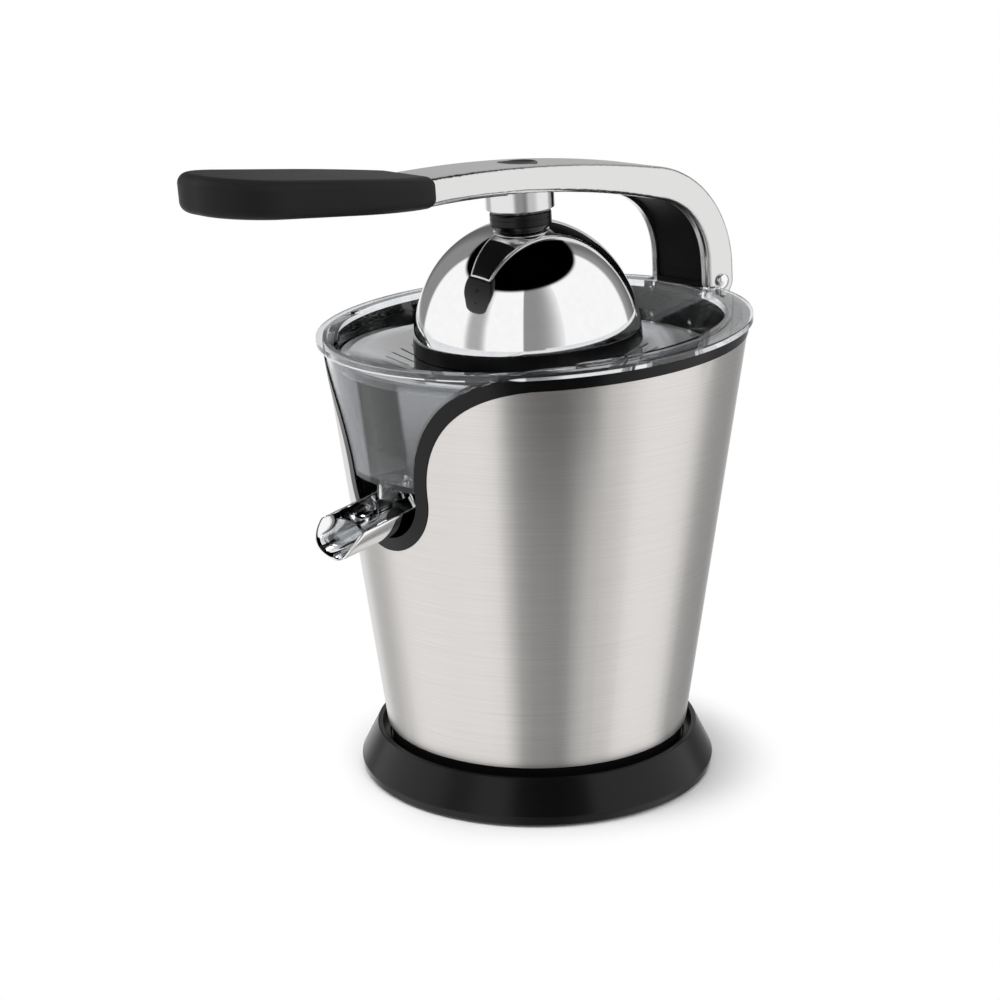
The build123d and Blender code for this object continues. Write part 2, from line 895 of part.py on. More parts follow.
def motor_can():
    body = ring(motor_radius, motor_radius - motor_wall, motor_low, motor_top)
    body += ring(motor_radius, motor_bush_radius + running_gap, motor_top - motor_top_plate, motor_top)
    for spot in motor_screw_spots():
        body -= spot * disc(motor_screw_radius + fit_gap, 0, overrun)
    return Pos(0, drive_y, 0) * body


def motor_cap():
    low = motor_low - motor_cap_height
    body = disc(motor_radius, low, motor_low - fit_gap)
    body += disc(motor_bush_radius + motor_wall * 2, low, motor_low + motor_cap_height)
    body -= disc(motor_bush_radius + running_gap, low + motor_wall / 2, overrun)
    return Pos(0, drive_y, 0) * body


def motor_bushes():
    top_low = motor_top - motor_bush_height
    bottom_low = motor_low - motor_cap_height + motor_wall
    bushes = [(top_low, motor_top), (bottom_low, bottom_low + motor_bush_height)]
    inner = motor_shaft_radius + running_gap
    return Compound(children=[ring(motor_bush_radius, inner, a, b, 0, drive_y) for a, b in bushes])


def stator():
    outer = motor_radius - motor_wall - fit_gap
    return ring(outer, stator_inner, stator_low, stator_low + stator_height, 0, drive_y)


def rotor_core():
    inner = motor_shaft_radius + running_gap
    return ring(rotor_radius, inner, stator_low, stator_low + stator_height, 0, drive_y)


def motor_shaft():
    return disc(motor_shaft_radius, motor_shaft_low, motor_shaft_top, 0, drive_y)


def motor_screws():
    seat = case_low + case_floor
    head = disc(motor_head_radius, seat, seat + motor_head_height)
    screw = head + disc(motor_screw_radius, seat - motor_screw_length, seat)
    return Compound(children=[Pos(0, drive_y, 0) * spot * screw for spot in motor_screw_spots()])


# Lever arm

def arm_face(low_inset, top_inset, front):
    """Side face of the arm between its lower and upper curves, each drawn in by an inset."""
    low_radius = bend_low_radius + low_inset
    top_radius = bend_top_radius - top_inset
    low_centre = (leg_front - bend_low_radius, bend_low_height)
    top_centre = (leg_rear - bend_top_radius, bend_top_height)
    turn = radians(bend_angle)
    low_bend = (low_centre[0] + low_radius * cos(turn), low_centre[1] + low_radius * sin(turn))
    top_bend = (top_centre[0] + top_radius * cos(turn), top_centre[1] + top_radius * sin(turn))
    low_front = (-front, arm_low_front + low_inset)
    top_front = (-front, arm_top_front - top_inset)
    leg_low = (leg_front + low_inset, pin_height)
    leg_high = (leg_rear - top_inset, pin_height)
    heel = ((leg_low[0] + leg_high[0]) / 2, pin_height - (leg_high[0] - leg_low[0]) / 2)
    edge = ThreePointArc(low_front, (arm_mid, arm_low_mid + low_inset), low_bend)
    low_turn = (leg_low[0], bend_low_height)
    edge += ThreePointArc(low_bend, arc_middle(low_centre, low_radius, bend_angle, 0), low_turn)
    edge += Line(low_turn, leg_low) + ThreePointArc(leg_low, heel, leg_high)
    top_turn = (leg_high[0], bend_top_height)
    edge += Line(leg_high, top_turn)
    edge += ThreePointArc(top_turn, arc_middle(top_centre, top_radius, 0, bend_angle), top_bend)
    edge += ThreePointArc(top_bend, (arm_mid, arm_top_mid - top_inset), top_front)
    edge += Line(top_front, low_front)
    return make_face(Plane.YZ * edge)


def arm_half_at(y):
    """Half width of the arm at a place along it."""
    share = (y + arm_front) / (leg_rear + arm_front)
    return arm_half_front + share * (arm_half_rear - arm_half_front)


def arm_plan(inset):
    """Tapering plan of the arm, drawn in by an inset, as a tall prism."""
    front = arm_half_at(-arm_front) - inset
    rear = arm_half_at(leg_rear) - inset
    outline = [(-front, -arm_front), (front, -arm_front), (rear, leg_rear), (-rear, leg_rear)]
    return extrude(make_face(Polyline(*outline, close=True)), overrun / 2, both=True)


def arm_slice(low_inset, top_inset, side_inset):
    """Arm solid drawn in from below, from above and from its sides."""
    return extrude(arm_face(low_inset, top_inset, arm_front), overrun / 2, both=True) & arm_plan(side_inset)


def channel_room():
    """Space of the channel under the arm and inside its leg."""
    room = arm_slice(-web, web, cheek)
    return room & block((-overrun, channel_front, -overrun), (overrun, overrun, overrun))


def tang(gap):
    """Flat tongue of the arm inside the grip, let out by a gap."""
    slope = Location((0, -arm_front, tang_middle), (-grip_angle(), 0, 0))
    half = tang_thickness / 2 + gap
    width = tang_half_width + gap
    return slope * block((-width, -tang_length - gap, -half), (width, tang_thickness, half))


def grip_angle():
    """Rise of the grip along its length, in degrees."""
    return Vector(1, 0).get_angle(Vector(1, grip_rise))


def lever_arm():
    body = arm_slice(0, 0, 0)
    creases = body.edges().filter_by_position(Axis.Z, bend_top_height, overrun)
    body = fillet([edge for edge in creases if edge.length > arm_front], arm_edge)
    body += tang(0)
    body -= channel_room()
    fork = arm_half_at(pin_reach) - cheek
    body -= block((-fork, 0, -overrun), (fork, overrun, fork_top))
    body -= cross_rod(pin_radius + fit_gap, -overrun, overrun, pin_reach, pin_height)
    axis_cuts = disc(collar_radius + fit_gap, 0, collar_top + fit_gap)
    axis_cuts += disc(stud_radius + fit_gap, 0, overrun)
    axis_cuts += disc(plug_radius + fit_gap, stud_nut_low - fit_gap, overrun)
    body -= Pos(0, -dome_reach, 0) * axis_cuts
    for place in grip_screw_places:
        body -= grip_screw_place(place) * disc(grip_screw_radius + fit_gap, -overrun, overrun)
    return deck * body


def arm_liner():
    strip = arm_slice(liner_recess, 0, cheek + fit_gap) - arm_slice(liner_recess + liner_thickness, -web, 0)
    keep = block((-overrun, channel_front + fit_gap, liner_end), (overrun, overrun, overrun))
    knuckle = cross_rod(knuckle_radius + moving_gap, -overrun, overrun, pin_reach, pin_height)
    return deck * ((strip & keep) - knuckle)


def grip_screw_place(reach):
    """Frame of a grip screw, on the middle of the tongue and square to it."""
    slope = Location((0, -arm_front, tang_middle), (-grip_angle(), 0, 0))
    return slope * Pos(0, arm_front - reach, 0)


def grip_body():
    side = ThreePointArc(
        (grip_half_start, -grip_start), (grip_half_mid, -grip_mid), (grip_half_end, -grip_straight)
    )
    turn = (grip_half_end - grip_corner, grip_corner - grip_end)
    side += Line((grip_half_end, -grip_straight), (grip_half_end, turn[1]))
    corner = arc_middle(turn, grip_corner, 0, -90)
    side += ThreePointArc((grip_half_end, turn[1]), corner, (turn[0], -grip_end))
    side += Polyline((turn[0], -grip_end), (0, -grip_end), (0, -grip_start), (grip_half_start, -grip_start))
    half = make_face(side)
    plan = extrude(half + mirror(half, Plane.YZ), overrun, both=True)
    profile = Polyline(
        (-grip_start, grip_low_start),
        (-grip_start, grip_top_start),
        (-grip_end, grip_top_end),
        (-grip_end, grip_low_end),
        close=True,
    )
    body = plan & extrude(make_face(Plane.YZ * profile), overrun, both=True)
    faces = body.faces().sort_by(Axis.Z)
    return fillet(faces[0].edges() + faces[-1].edges(), grip_edge)


def grip():
    body = grip_body() - tang(fit_gap) - arm_slice(-fit_gap, -fit_gap, -fit_gap)
    seat = -tang_thickness / 2 - grip_head_sink - fit_gap
    for place in grip_screw_places:
        body -= grip_screw_place(place) * disc(grip_screw_radius + fit_gap, -overrun, 0)
        body -= grip_screw_place(place) * disc(grip_head_radius + fit_gap, -overrun, seat)
    return deck * body


def grip_screws():
    seat = -tang_thickness / 2 - grip_head_sink - 2 * fit_gap
    head = disc(grip_head_radius, seat - grip_head_height, seat)
    screw = head + disc(grip_screw_radius, seat, tang_thickness / 2 - fit_gap)
    return Compound(children=[deck * grip_screw_place(place) * screw for place in grip_screw_places])


def arm_plug():
    body = disc(plug_radius, plug_low, plug_top)
    body = fillet(body.edges().sort_by(Axis.Z)[-1], plug_edge)
    return dome_frame * body


# Hinge

def pin_seat():
    return arm_half_at(leg_rear) + fit_gap


def pin_end():
    return pin_seat() + pin_head_height


def hinge_pin():
    seat = pin_seat()
    head = cross_rod(pin_head_radius, seat, pin_end(), pin_reach, pin_height)
    head = fillet(head.edges().sort_by(Axis.X)[-1], pin_head_dome)
    body = cross_rod(pin_radius, -seat, seat, pin_reach, pin_height)
    return deck * (body + head + mirror(head, Plane.YZ))


def bracket_screw_spots():
    """Places of the bracket's screws: how far to the side, where they meet the housing, and how high."""
    spots = []
    for x in (-bracket_screw_spread, bracket_screw_spread):
        for z in bracket_screw_heights:
            spots.append((x, sqrt(cone_at(z, housing_room) ** 2 - x**2), z))
    return spots


def hinge_bracket():
    inside = cone_body(housing_room + fit_gap)
    plate = block((-bracket_half_width, 0, bracket_low), (bracket_half_width, overrun, overrun))
    plate = (plate & inside & below_deck(-bracket_top)) - bowl_body(bowl_wall + bracket_inner_gap)
    half = arm_half_at(pin_reach) - cheek - moving_gap
    foot = deck * block((-half, neck_front_low, -neck_low), (half, pin_reach, -neck_step))
    neck = block((-half, neck_front_low, -neck_under), (half, pin_reach, -neck_step))
    neck += block((-half, neck_front_high, -neck_under), (half, pin_reach, pin_height))
    neck += cross_rod(knuckle_radius, -half, half, pin_reach, pin_height)
    body = plate + (foot & inside) + deck * neck
    body -= deck * cross_rod(pin_radius + running_gap, -overrun, overrun, pin_reach, pin_height)
    for x, wall, z in bracket_screw_spots():
        body -= long_rod(bracket_screw_radius + fit_gap, 0, overrun, x, z)
        body -= long_rod(bracket_head_radius + fit_gap, 0, wall - bracket_clamp, x, z)
    return body


def bracket_screws():
    screws = []
    for x, wall, z in bracket_screw_spots():
        seat = wall - bracket_clamp - fit_gap
        head = long_rod(bracket_head_radius, seat - bracket_head_height, seat, x, z)
        end = wall + bracket_screw_bite - fit_gap
        screws.append(head + long_rod(bracket_screw_radius, seat, end, x, z))
    return Compound(children=screws)


# Dome and neck

def dome_edge(inset):
    """Outline of the dome from its rim to its top, two arcs that run into each other, drawn in by an inset."""
    side_centre = (dome_radius - dome_side_radius, 0)
    crown_centre = (0, dome_rise - dome_crown_radius)
    turn = Vector(1, 0).get_angle(Vector(*crown_centre) - Vector(*side_centre))
    side = dome_side_radius - inset
    crown = dome_crown_radius - inset
    join = arc_middle(side_centre, side, turn, turn)
    edge = ThreePointArc((dome_radius - inset, 0), arc_middle(side_centre, side, 0, turn), join)
    return edge + ThreePointArc(join, arc_middle(crown_centre, crown, turn, 90), (0, dome_rise - inset))


def dome_body(inset):
    """Solid of the dome's outside, drawn in by an inset, with its flat side down."""
    edge = dome_edge(inset) + Polyline((0, dome_rise - inset), (0, 0), (dome_radius - inset, 0))
    return Pos(0, 0, -dome_drop) * revolve(make_face(Plane.XZ * edge), Axis.Z)


def dome_layer(outer, inner):
    """Bell between two insets from the dome's outside, open below and round the neck."""
    edge = dome_edge(outer) + dome_edge(inner)
    edge += Line((0, dome_rise - outer), (0, dome_rise - inner))
    edge += Line((dome_radius - outer, 0), (dome_radius - inner, 0))
    body = Pos(0, 0, -dome_drop) * revolve(make_face(Plane.XZ * edge), Axis.Z)
    return body - disc(spigot_radius + fit_gap, 0, overrun)


def dome_shell():
    return dome_frame * dome_layer(0, dome_wall)


def dome_liner():
    outer = dome_wall + liner_gap
    body = dome_layer(outer, outer + liner_wall)
    return dome_frame * (body - disc(overrun, -overrun, liner_lift - dome_drop))


def neck_bush():
    body = disc(neck_bush_radius, ball_height - ball_radius, neck_bush_top)
    body = fillet(body.edges().sort_by(Axis.Z)[-1], neck_bush_edge)
    body -= dome_body(-fit_gap)
    body += disc(spigot_radius, spigot_bottom, neck_bush_top - neck_bush_edge)
    body -= Pos(0, 0, ball_height) * Sphere(ball_radius + ball_gap)
    body -= disc(socket_mouth, ball_height, overrun)
    return dome_frame * body


def dome_nut():
    body = hexagon(dome_nut_flats, spigot_bottom, spigot_bottom + dome_nut_height)
    body = body & dome_body(dome_wall + liner_gap + liner_wall + fit_gap)
    return dome_frame * (body - disc(spigot_radius + running_gap, 0, overrun))


def dome_stud():
    body = Pos(0, 0, ball_height) * Sphere(ball_radius)
    return dome_frame * (body + disc(stud_radius, ball_height, stud_top))


def neck_collar():
    return dome_frame * ring(collar_radius, stud_radius + running_gap, collar_bottom, collar_top)


def stud_nut():
    body = hexagon(stud_nut_flats, stud_nut_low, stud_nut_low + stud_nut_height)
    return dome_frame * (body - disc(stud_radius + running_gap, 0, overrun))


# Spout

def spout():
    bore = spout_radius - spout_wall
    trough = long_rod(spout_radius, -spout_tip, spout_root, 0, spout_axis_lift)
    trough -= long_rod(bore, -overrun, spout_root - spout_wall, 0, spout_axis_lift)
    top = spout_axis_lift - spout_edge_drop
    outline = Line((spout_root, top), (-spout_mouth, top))
    outline += ThreePointArc(
        (-spout_mouth, top), (-spout_lip_reach, -spout_lip_drop), (-spout_tip, -spout_tip_drop)
    )
    outline += Polyline(
        (-spout_tip, -spout_tip_drop), (-spout_tip, -overrun), (spout_root, -overrun), (spout_root, top)
    )
    trough = trough & extrude(make_face(Plane.YZ * outline), overrun, both=True)
    hub = cross_rod(spout_hub_radius, -bore, bore, 0, 0)
    hub = hub & long_rod(spout_radius - spout_wall / 2, -overrun, overrun, 0, spout_axis_lift)
    hub = hub & block((-overrun, -overrun, -overrun), (overrun, overrun, top))
    body = trough + hub
    return spout_frame * (body - cross_rod(spout_pin_radius + running_gap, -overrun, overrun, 0, 0))


def spout_pin():
    half = pocket_half_width + pocket_wall - fit_gap
    return cross_rod(spout_pin_radius, -half, half, -spout_pivot_reach, spout_pivot_height)


def spout_seal():
    stem = Pos(0, -seal_place, 0) * disc(seal_stem_radius, -spout_radius, -seal_top - seal_stem_radius)
    stem += Pos(0, -seal_place, -seal_top - seal_stem_radius) * Sphere(seal_stem_radius)
    bore = spout_radius - spout_wall - fit_gap
    return spout_frame * (stem & long_rod(bore, -overrun, overrun, 0, spout_axis_lift))


pieces = [
    foot_ring, base_ring, cord_inlet, bottom_cover, cover_screws,
    outer_shell, edge_trim, inner_housing, drive_deck, shaft_seal,
    juice_collector, sieve, reamer_base, reamer_cone,
    drive_spindle, press_washer, return_spring, microswitch, switch_button,
    motor_pinion, idler_gear, idler_pin, output_gear, gear_clip, output_bush,
    gearbox_case, gearbox_lid, gearbox_screws,
    motor_can, motor_cap, motor_bushes, stator, rotor_core, motor_shaft, motor_screws,
    lever_arm, arm_liner, arm_plug, grip, grip_screws,
    hinge_pin, hinge_bracket, bracket_screws,
    dome_shell, dome_liner, neck_bush, dome_nut, dome_stud, neck_collar, stud_nut,
    spout, spout_pin, spout_seal,
]

os.makedirs("parts", exist_ok=True)
for piece in pieces:
    export_step(piece(), os.path.join("parts", piece.__name__ + ".step"))
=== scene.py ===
# %% [markdown]
# # An electric lever juicer
# The juicer's solids come from the CAD frame, at their real size. This lesson dresses them: it builds
# the pieces that the eye rests on with bmesh operators, gives every piece a procedural finish, and
# lights the whole like a small product studio. The frame is loaded first, because everything after it
# is placed by the frame's own numbers.

# %% Load the frame
import json
from math import acos, asin, atan2, cos, degrees, pi, radians, sin, tan

import bmesh
import bpy
from mathutils import Matrix, Vector

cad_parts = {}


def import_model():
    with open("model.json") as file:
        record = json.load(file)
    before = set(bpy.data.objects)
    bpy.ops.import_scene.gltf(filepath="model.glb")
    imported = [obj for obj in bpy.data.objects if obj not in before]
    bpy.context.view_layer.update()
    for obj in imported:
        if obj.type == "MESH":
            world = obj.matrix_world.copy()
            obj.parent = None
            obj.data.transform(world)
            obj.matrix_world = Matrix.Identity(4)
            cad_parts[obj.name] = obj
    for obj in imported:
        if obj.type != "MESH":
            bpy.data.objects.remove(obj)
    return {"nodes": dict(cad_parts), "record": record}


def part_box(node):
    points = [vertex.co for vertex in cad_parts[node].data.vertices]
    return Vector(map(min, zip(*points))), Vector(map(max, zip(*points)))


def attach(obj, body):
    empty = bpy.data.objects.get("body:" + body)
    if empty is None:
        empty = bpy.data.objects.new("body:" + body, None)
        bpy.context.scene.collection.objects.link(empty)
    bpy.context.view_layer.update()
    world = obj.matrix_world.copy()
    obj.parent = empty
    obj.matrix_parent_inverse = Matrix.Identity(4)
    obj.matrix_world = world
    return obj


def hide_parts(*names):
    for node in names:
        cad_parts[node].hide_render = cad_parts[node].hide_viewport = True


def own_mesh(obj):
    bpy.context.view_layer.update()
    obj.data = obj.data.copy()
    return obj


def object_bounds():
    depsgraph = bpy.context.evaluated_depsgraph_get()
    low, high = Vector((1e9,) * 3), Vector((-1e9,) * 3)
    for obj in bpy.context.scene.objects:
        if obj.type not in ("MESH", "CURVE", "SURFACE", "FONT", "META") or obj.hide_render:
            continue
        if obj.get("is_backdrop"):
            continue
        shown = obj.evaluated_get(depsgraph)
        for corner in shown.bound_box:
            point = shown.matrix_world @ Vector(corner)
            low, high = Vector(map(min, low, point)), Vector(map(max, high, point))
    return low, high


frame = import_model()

cad_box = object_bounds()
mm = 0.001
nodes = frame["nodes"]
corners = [[round(value, 3) for value in corner] for corner in cad_box]
print(len(nodes), "CAD nodes, from", corners[0], "to", corners[1])

# %% [markdown]
# ## Places that many pieces share
# The rim of the bowl isn't level: it rises a little towards the hinge. The dome, the arm and the grip
# all sit square to it, so they are drawn in the rim's own frame and then turned into place. The dome
# stands a little in front of the rim's middle.

# %% Shared frames
rim_height = 213.4 * mm
rim_tilt = radians(3.64)
dome_reach = 4.2 * mm
rim_frame = Matrix.Translation((0, 0, rim_height)) @ Matrix.Rotation(rim_tilt, 4, "X")
dome_frame = rim_frame @ Matrix.Translation((0, -dome_reach, 0))
print("rim tilted by", round(rim_tilt, 4), "radians, dome middle at", dome_frame.translation[:])

# %% [markdown]
# ## Sums on sockets
# A finish is a small network of nodes. Wiring each sum by hand hides what it does, so one class wraps a
# socket and lets Python's own operators add the Math nodes. A second class makes every other node: it
# takes the type, the settings, which are set first, and the values or links of the sockets.

# %% Socket and Finish classes
class Socket:
    """An output of a node that sums can be written with."""

    def __init__(self, tree, output):
        self.tree = tree
        self.output = output

    def math(self, operation, left, right):
        made = self.tree.nodes.new("ShaderNodeMath")
        made.operation = operation
        for place, value in zip(made.inputs, (left, right)):
            if isinstance(value, Socket):
                self.tree.links.new(value.output, place)
            else:
                place.default_value = value
        return Socket(self.tree, made.outputs[0])

    def __add__(self, other):
        return self.math("ADD", self, other)

    def __radd__(self, other):
        return self.math("ADD", other, self)

    def __sub__(self, other):
        return self.math("SUBTRACT", self, other)

    def __rsub__(self, other):
        return self.math("SUBTRACT", other, self)

    def __mul__(self, other):
        return self.math("MULTIPLY", self, other)

    def __rmul__(self, other):
        return self.math("MULTIPLY", other, self)

    def __truediv__(self, other):
        return self.math("DIVIDE", self, other)

    def __rtruediv__(self, other):
        return self.math("DIVIDE", other, self)

    def __pow__(self, other):
        return self.math("POWER", self, other)


class Finish:
    """A node tree that is being filled, for a material or for the world."""

    def __init__(self, owner):
        owner.use_nodes = True
        self.owner = owner
        self.tree = owner.node_tree
        self.tree.nodes.clear()

    def node(self, kind, settings=None, values=None, output=0):
        """Makes a node and gives back one of its outputs."""
        made = self.tree.nodes.new("ShaderNode" + kind)
        for name, setting in (settings or {}).items():
            setattr(made, name, setting)
        for name, value in (values or {}).items():
            if isinstance(value, Socket):
                self.tree.links.new(value.output, made.inputs[name])
            else:
                made.inputs[name].default_value = value
        return Socket(self.tree, made.outputs[output]) if made.outputs else None

    def smooth(self, value, low, high):
        """A mask that goes softly from 0 at low to 1 at high."""
        limits = {"Value": value, "From Min": low, "From Max": high}
        return self.node("MapRange", {"interpolation_type": "SMOOTHSTEP"}, limits)

    def mix(self, share, first, second):
        """A colour between two colours. A Mix node's colours are its inputs 6 and 7 and its output 2."""
        return self.node("Mix", {"data_type": "RGBA"}, {0: share, 6: first, 7: second}, output=2)

    def place(self, scale=(1, 1, 1)):
        """Object coordinates, stretched by a scale."""
        point = self.node("TexCoord", output="Object")
        return self.node("Mapping", {}, {"Vector": point, "Scale": scale})

    def noise(self, scale, detail=2.0, stretch=(1, 1, 1)):
        """Soft noise between 0 and 1."""
        values = {"Vector": self.place(stretch), "Scale": scale, "Detail": detail}
        return self.node("TexNoise", {}, values)

    def axes(self, vector):
        """The three parts of a vector."""
        split = self.node("SeparateXYZ", {}, {"Vector": vector})
        return [Socket(self.tree, out) for out in split.output.node.outputs]

    def blend(self, share, first, second):
        """A shader between two shaders."""
        return self.node("MixShader", {}, {0: share, 1: first, 2: second})

    def bump(self, height, strength, distance):
        """A normal that follows small heights."""
        values = {"Height": height, "Strength": strength, "Distance": distance}
        return self.node("Bump", {}, values)

    def surface(self, values):
        """Ends the material in a Principled shader."""
        shader = self.node("BsdfPrincipled", {}, values)
        self.node("OutputMaterial", {}, {"Surface": shader})
        return self.owner


def grey(level, warmth=0.0):
    """A grey that leans to red when its warmth is above zero and to blue when it is below."""
    return (level * (1 + warmth), level, level * (1 - warmth), 1)


def new_finish(name):
    return Finish(bpy.data.materials.new(name))


print("sums ready:", [name for name in vars(Socket) if name.startswith("__r")])

# %% [markdown]
# ## Finish of the body's shell
# The shell is brushed round and round, so its scratches lie level and its reflections smear upwards.
# Noise that is squeezed in height and slow round the body gives the scratches: they vary the colour and
# the roughness a little, and the shader's own anisotropy does the smear.

# %% Brushed shell
fine_scratches = (26, 26, 3400)
broad_scratches = (12, 12, 1100)


def brushed_shell():
    finish = new_finish("brushed_shell")
    fine = finish.noise(1.0, detail=3.0, stretch=fine_scratches)
    broad = finish.noise(1.0, detail=2.0, stretch=broad_scratches)
    scratch = fine * 0.7 + broad * 0.3
    colour = finish.mix(finish.smooth(scratch, 0.25, 0.75), grey(0.68, 0.034), grey(0.77, 0.028))
    return finish.surface({
        "Base Color": colour,
        "Metallic": 1.0,
        "Roughness": scratch * 0.1 + 0.27,
        "Anisotropic": 0.7,
        "Anisotropic Rotation": 0.25,
        "Normal": finish.bump(scratch, strength=0.025, distance=0.4 * mm),
    })


shell_finish = brushed_shell()
print("made", shell_finish.name)

# %% [markdown]
# ## Other metals
# The dome and the spout are polished: almost smooth, with the faintest trace of handling. The arm is
# satin cast alloy with a very fine grain. The sieve is bright pressed sheet, and the collar, the shafts
# and the screws are machined steel. One function covers them, because they differ only in tone, gloss
# and the size of their grain.

# %% Polished, cast and machined metal
def metal(name, tone, rough, spread, grain, warmth=0.0, dent=0.0):
    finish = new_finish(name)
    texture = finish.noise(grain, detail=4.0)
    haze = finish.noise(38.0, detail=2.0)
    colour = finish.mix(texture, grey(tone * 0.95, warmth), grey(tone * 1.03, warmth))
    values = {
        "Base Color": colour,
        "Metallic": 1.0,
        "Roughness": haze * spread + texture * spread + rough,
    }
    if dent:
        values["Normal"] = finish.bump(texture, strength=dent, distance=0.2 * mm)
    return finish.surface(values)


polished_finish = metal("polished_steel", tone=0.93, rough=0.015, spread=0.02, grain=300.0)
sieve_finish = metal("sieve_steel", tone=0.7, rough=0.12, spread=0.05, grain=900.0)
arm_finish = metal("cast_arm", tone=0.76, rough=0.16, spread=0.06, grain=2600.0, warmth=0.006, dent=0.03)
machine_finish = metal("machine_steel", tone=0.78, rough=0.1, spread=0.04, grain=1400.0, dent=0.02)
bronze_finish = metal(
    "bearing_bronze", tone=0.52, rough=0.32, spread=0.08, grain=2200.0, warmth=0.36, dent=0.08
)
iron_finish = metal("iron_core", tone=0.28, rough=0.45, spread=0.1, grain=1600.0, warmth=-0.01, dent=0.1)
can_finish = metal("motor_steel", tone=0.46, rough=0.34, spread=0.08, grain=700.0, warmth=-0.015, dent=0.04)
metals = (polished_finish, sieve_finish, arm_finish, machine_finish, bronze_finish, iron_finish, can_finish)
print("made", [made.name for made in metals])

# %% [markdown]
# ## Plastics and rubber
# Four blacks sit side by side on this object and the eye tells them apart by their gloss: satin on the
# base and the trim, matte on the housing, soft on the grip, and dull on the rubber. Each has a moulded
# grain that is too fine to see as a pattern but breaks up the highlight.

# %% Moulded plastics
wear_share = 0.18


def plastic(name, colour, rough, spread, grain, dent, shine):
    finish = new_finish(name)
    texture = finish.noise(grain, detail=3.0)
    wear = finish.noise(24.0, detail=3.0)
    darker = tuple(channel * (1 - wear_share) for channel in colour[:3]) + (1,)
    lighter = tuple(channel * (1 + wear_share) for channel in colour[:3]) + (1,)
    return finish.surface({
        "Base Color": finish.mix(wear, darker, lighter),
        "Roughness": texture * spread + wear * spread + rough,
        "Specular IOR Level": shine,
        "Normal": finish.bump(texture, strength=dent, distance=0.3 * mm),
    })


gloss_finish = plastic(
    "black_gloss", grey(0.002, -0.02), rough=0.2, spread=0.05, grain=2200.0, dent=0.03, shine=0.28
)
matte_finish = plastic(
    "black_matte", grey(0.005, -0.02), rough=0.38, spread=0.08, grain=2600.0, dent=0.08, shine=0.1
)
grip_finish = plastic(
    "soft_grip", grey(0.008, -0.02), rough=0.42, spread=0.06, grain=3200.0, dent=0.1, shine=0.16
)
rubber_finish = plastic(
    "rubber_black", grey(0.009), rough=0.55, spread=0.1, grain=2600.0, dent=0.12, shine=0.25
)
nylon_finish = plastic(
    "gear_nylon", (0.80, 0.78, 0.70, 1), rough=0.4, spread=0.08, grain=1500.0, dent=0.05, shine=0.5
)
plastics = (gloss_finish, matte_finish, grip_finish, rubber_finish, nylon_finish)
print("made", [made.name for made in plastics])

# %% [markdown]
# ## Clear plastic
# The collector is a clear moulding with a smoky tint. It is a real wall with a thickness, so the shader
# can bend light through it: transmission with the index of acrylic gives the bright and dark lines along
# the rim for free. The sides of the chute at the front get painted light, lighter bands with the right one
# mostly near its top: a thin share of a dull white shader is mixed in there. The rim gets a faint even haze
# of it.

# %% Clear collector
rim_band = 3.4 * mm
rim_fade = 1 * mm
chute_front = 60 * mm
chute_low = 150 * mm
chute_top = 203 * mm
chute_fade = 6 * mm
chute_middle = 6.5 * mm
clear_half_width = 12.5 * mm
painted_band_half_width = 15 * mm
# painted light: shares of a dull pale shader that make lighter bands at the chute's sides; the least share
# is also the rim's faint even haze
left_painted_light = 0.22
right_painted_light = 0.28
least_haze_and_painted_light = 0.02


def clear_plastic():
    finish = new_finish("clear_plastic")
    ripple = finish.noise(60.0, detail=2.0)
    clear = finish.node("BsdfPrincipled", {}, {
        "Base Color": finish.mix(ripple, (0.80, 0.82, 0.84, 1), (0.86, 0.875, 0.89, 1)),
        "Roughness": ripple * 0.012 + 0.002,
        "IOR": 1.46,
        "Transmission Weight": 1.0,
    })
    # a dull pale shader, mixed in for the rim's faint haze and for the painted light bands at the chute's
    # sides
    haze_and_painted_light = finish.node("BsdfPrincipled", {}, {
        "Base Color": finish.mix(ripple, (0.60, 0.62, 0.66, 1), (0.70, 0.72, 0.75, 1)),
        "Roughness": ripple * 0.1 + 0.2,
    })
    x, y, z = finish.axes(finish.place())
    chute = finish.smooth(y * -1, chute_front, chute_front + chute_fade)
    chute = chute * (1 - finish.smooth(z, chute_top - chute_fade, chute_top))
    chute = chute * finish.smooth(z, chute_low, chute_low + chute_fade)
    left = finish.smooth(chute_middle - x, clear_half_width, painted_band_half_width)
    right = finish.smooth(x - chute_middle, clear_half_width, painted_band_half_width)
    risen = finish.smooth(z, chute_low, chute_top)
    rim_low = rim_height - rim_band
    rim = finish.smooth(z - y * tan(rim_tilt), rim_low, rim_low + rim_fade)
    # painted light: lighter bands at both sides of the chute, the right one growing towards the top
    painted_light_bands = left * left_painted_light + right * (risen * right_painted_light + least_haze_and_painted_light)
    share = chute * painted_light_bands + rim * least_haze_and_painted_light
    finish.node("OutputMaterial", {}, {"Surface": finish.blend(share, clear, haze_and_painted_light)})
    return finish.owner


clear_finish = clear_plastic()
print("made", clear_finish.name)

# %% [markdown]
# ## Every CAD node gets its finish
# The record names a material slot for each node, so one table from slot to finish paints the whole
# frame. Pieces that are built later take the same finishes.

# %% Paint the frame
slot_finish = {
    "brushed_shell": shell_finish,
    "black_gloss": gloss_finish,
    "black_matte": matte_finish,
    "clear_plastic": clear_finish,
    "polished_steel": polished_finish,
    "sieve_steel": sieve_finish,
    "cast_arm": arm_finish,
    "soft_grip": grip_finish,
    "rubber_black": rubber_finish,
    "machine_steel": machine_finish,
    "bearing_bronze": bronze_finish,
    "gear_nylon": nylon_finish,
    "iron_core": iron_finish,
    "motor_steel": can_finish,
}
node_slot = {row["node"]: row["material_slot"] for row in frame["record"]["subparts"]}
node_body = {name: body for body, names in frame["record"]["behaviour"]["bodies"].items() for name in names}
for name, node in nodes.items():
    node.data.materials.clear()
    node.data.materials.append(slot_finish[node_slot[name]])
print("painted", len(nodes), "nodes with", len(slot_finish), "finishes")
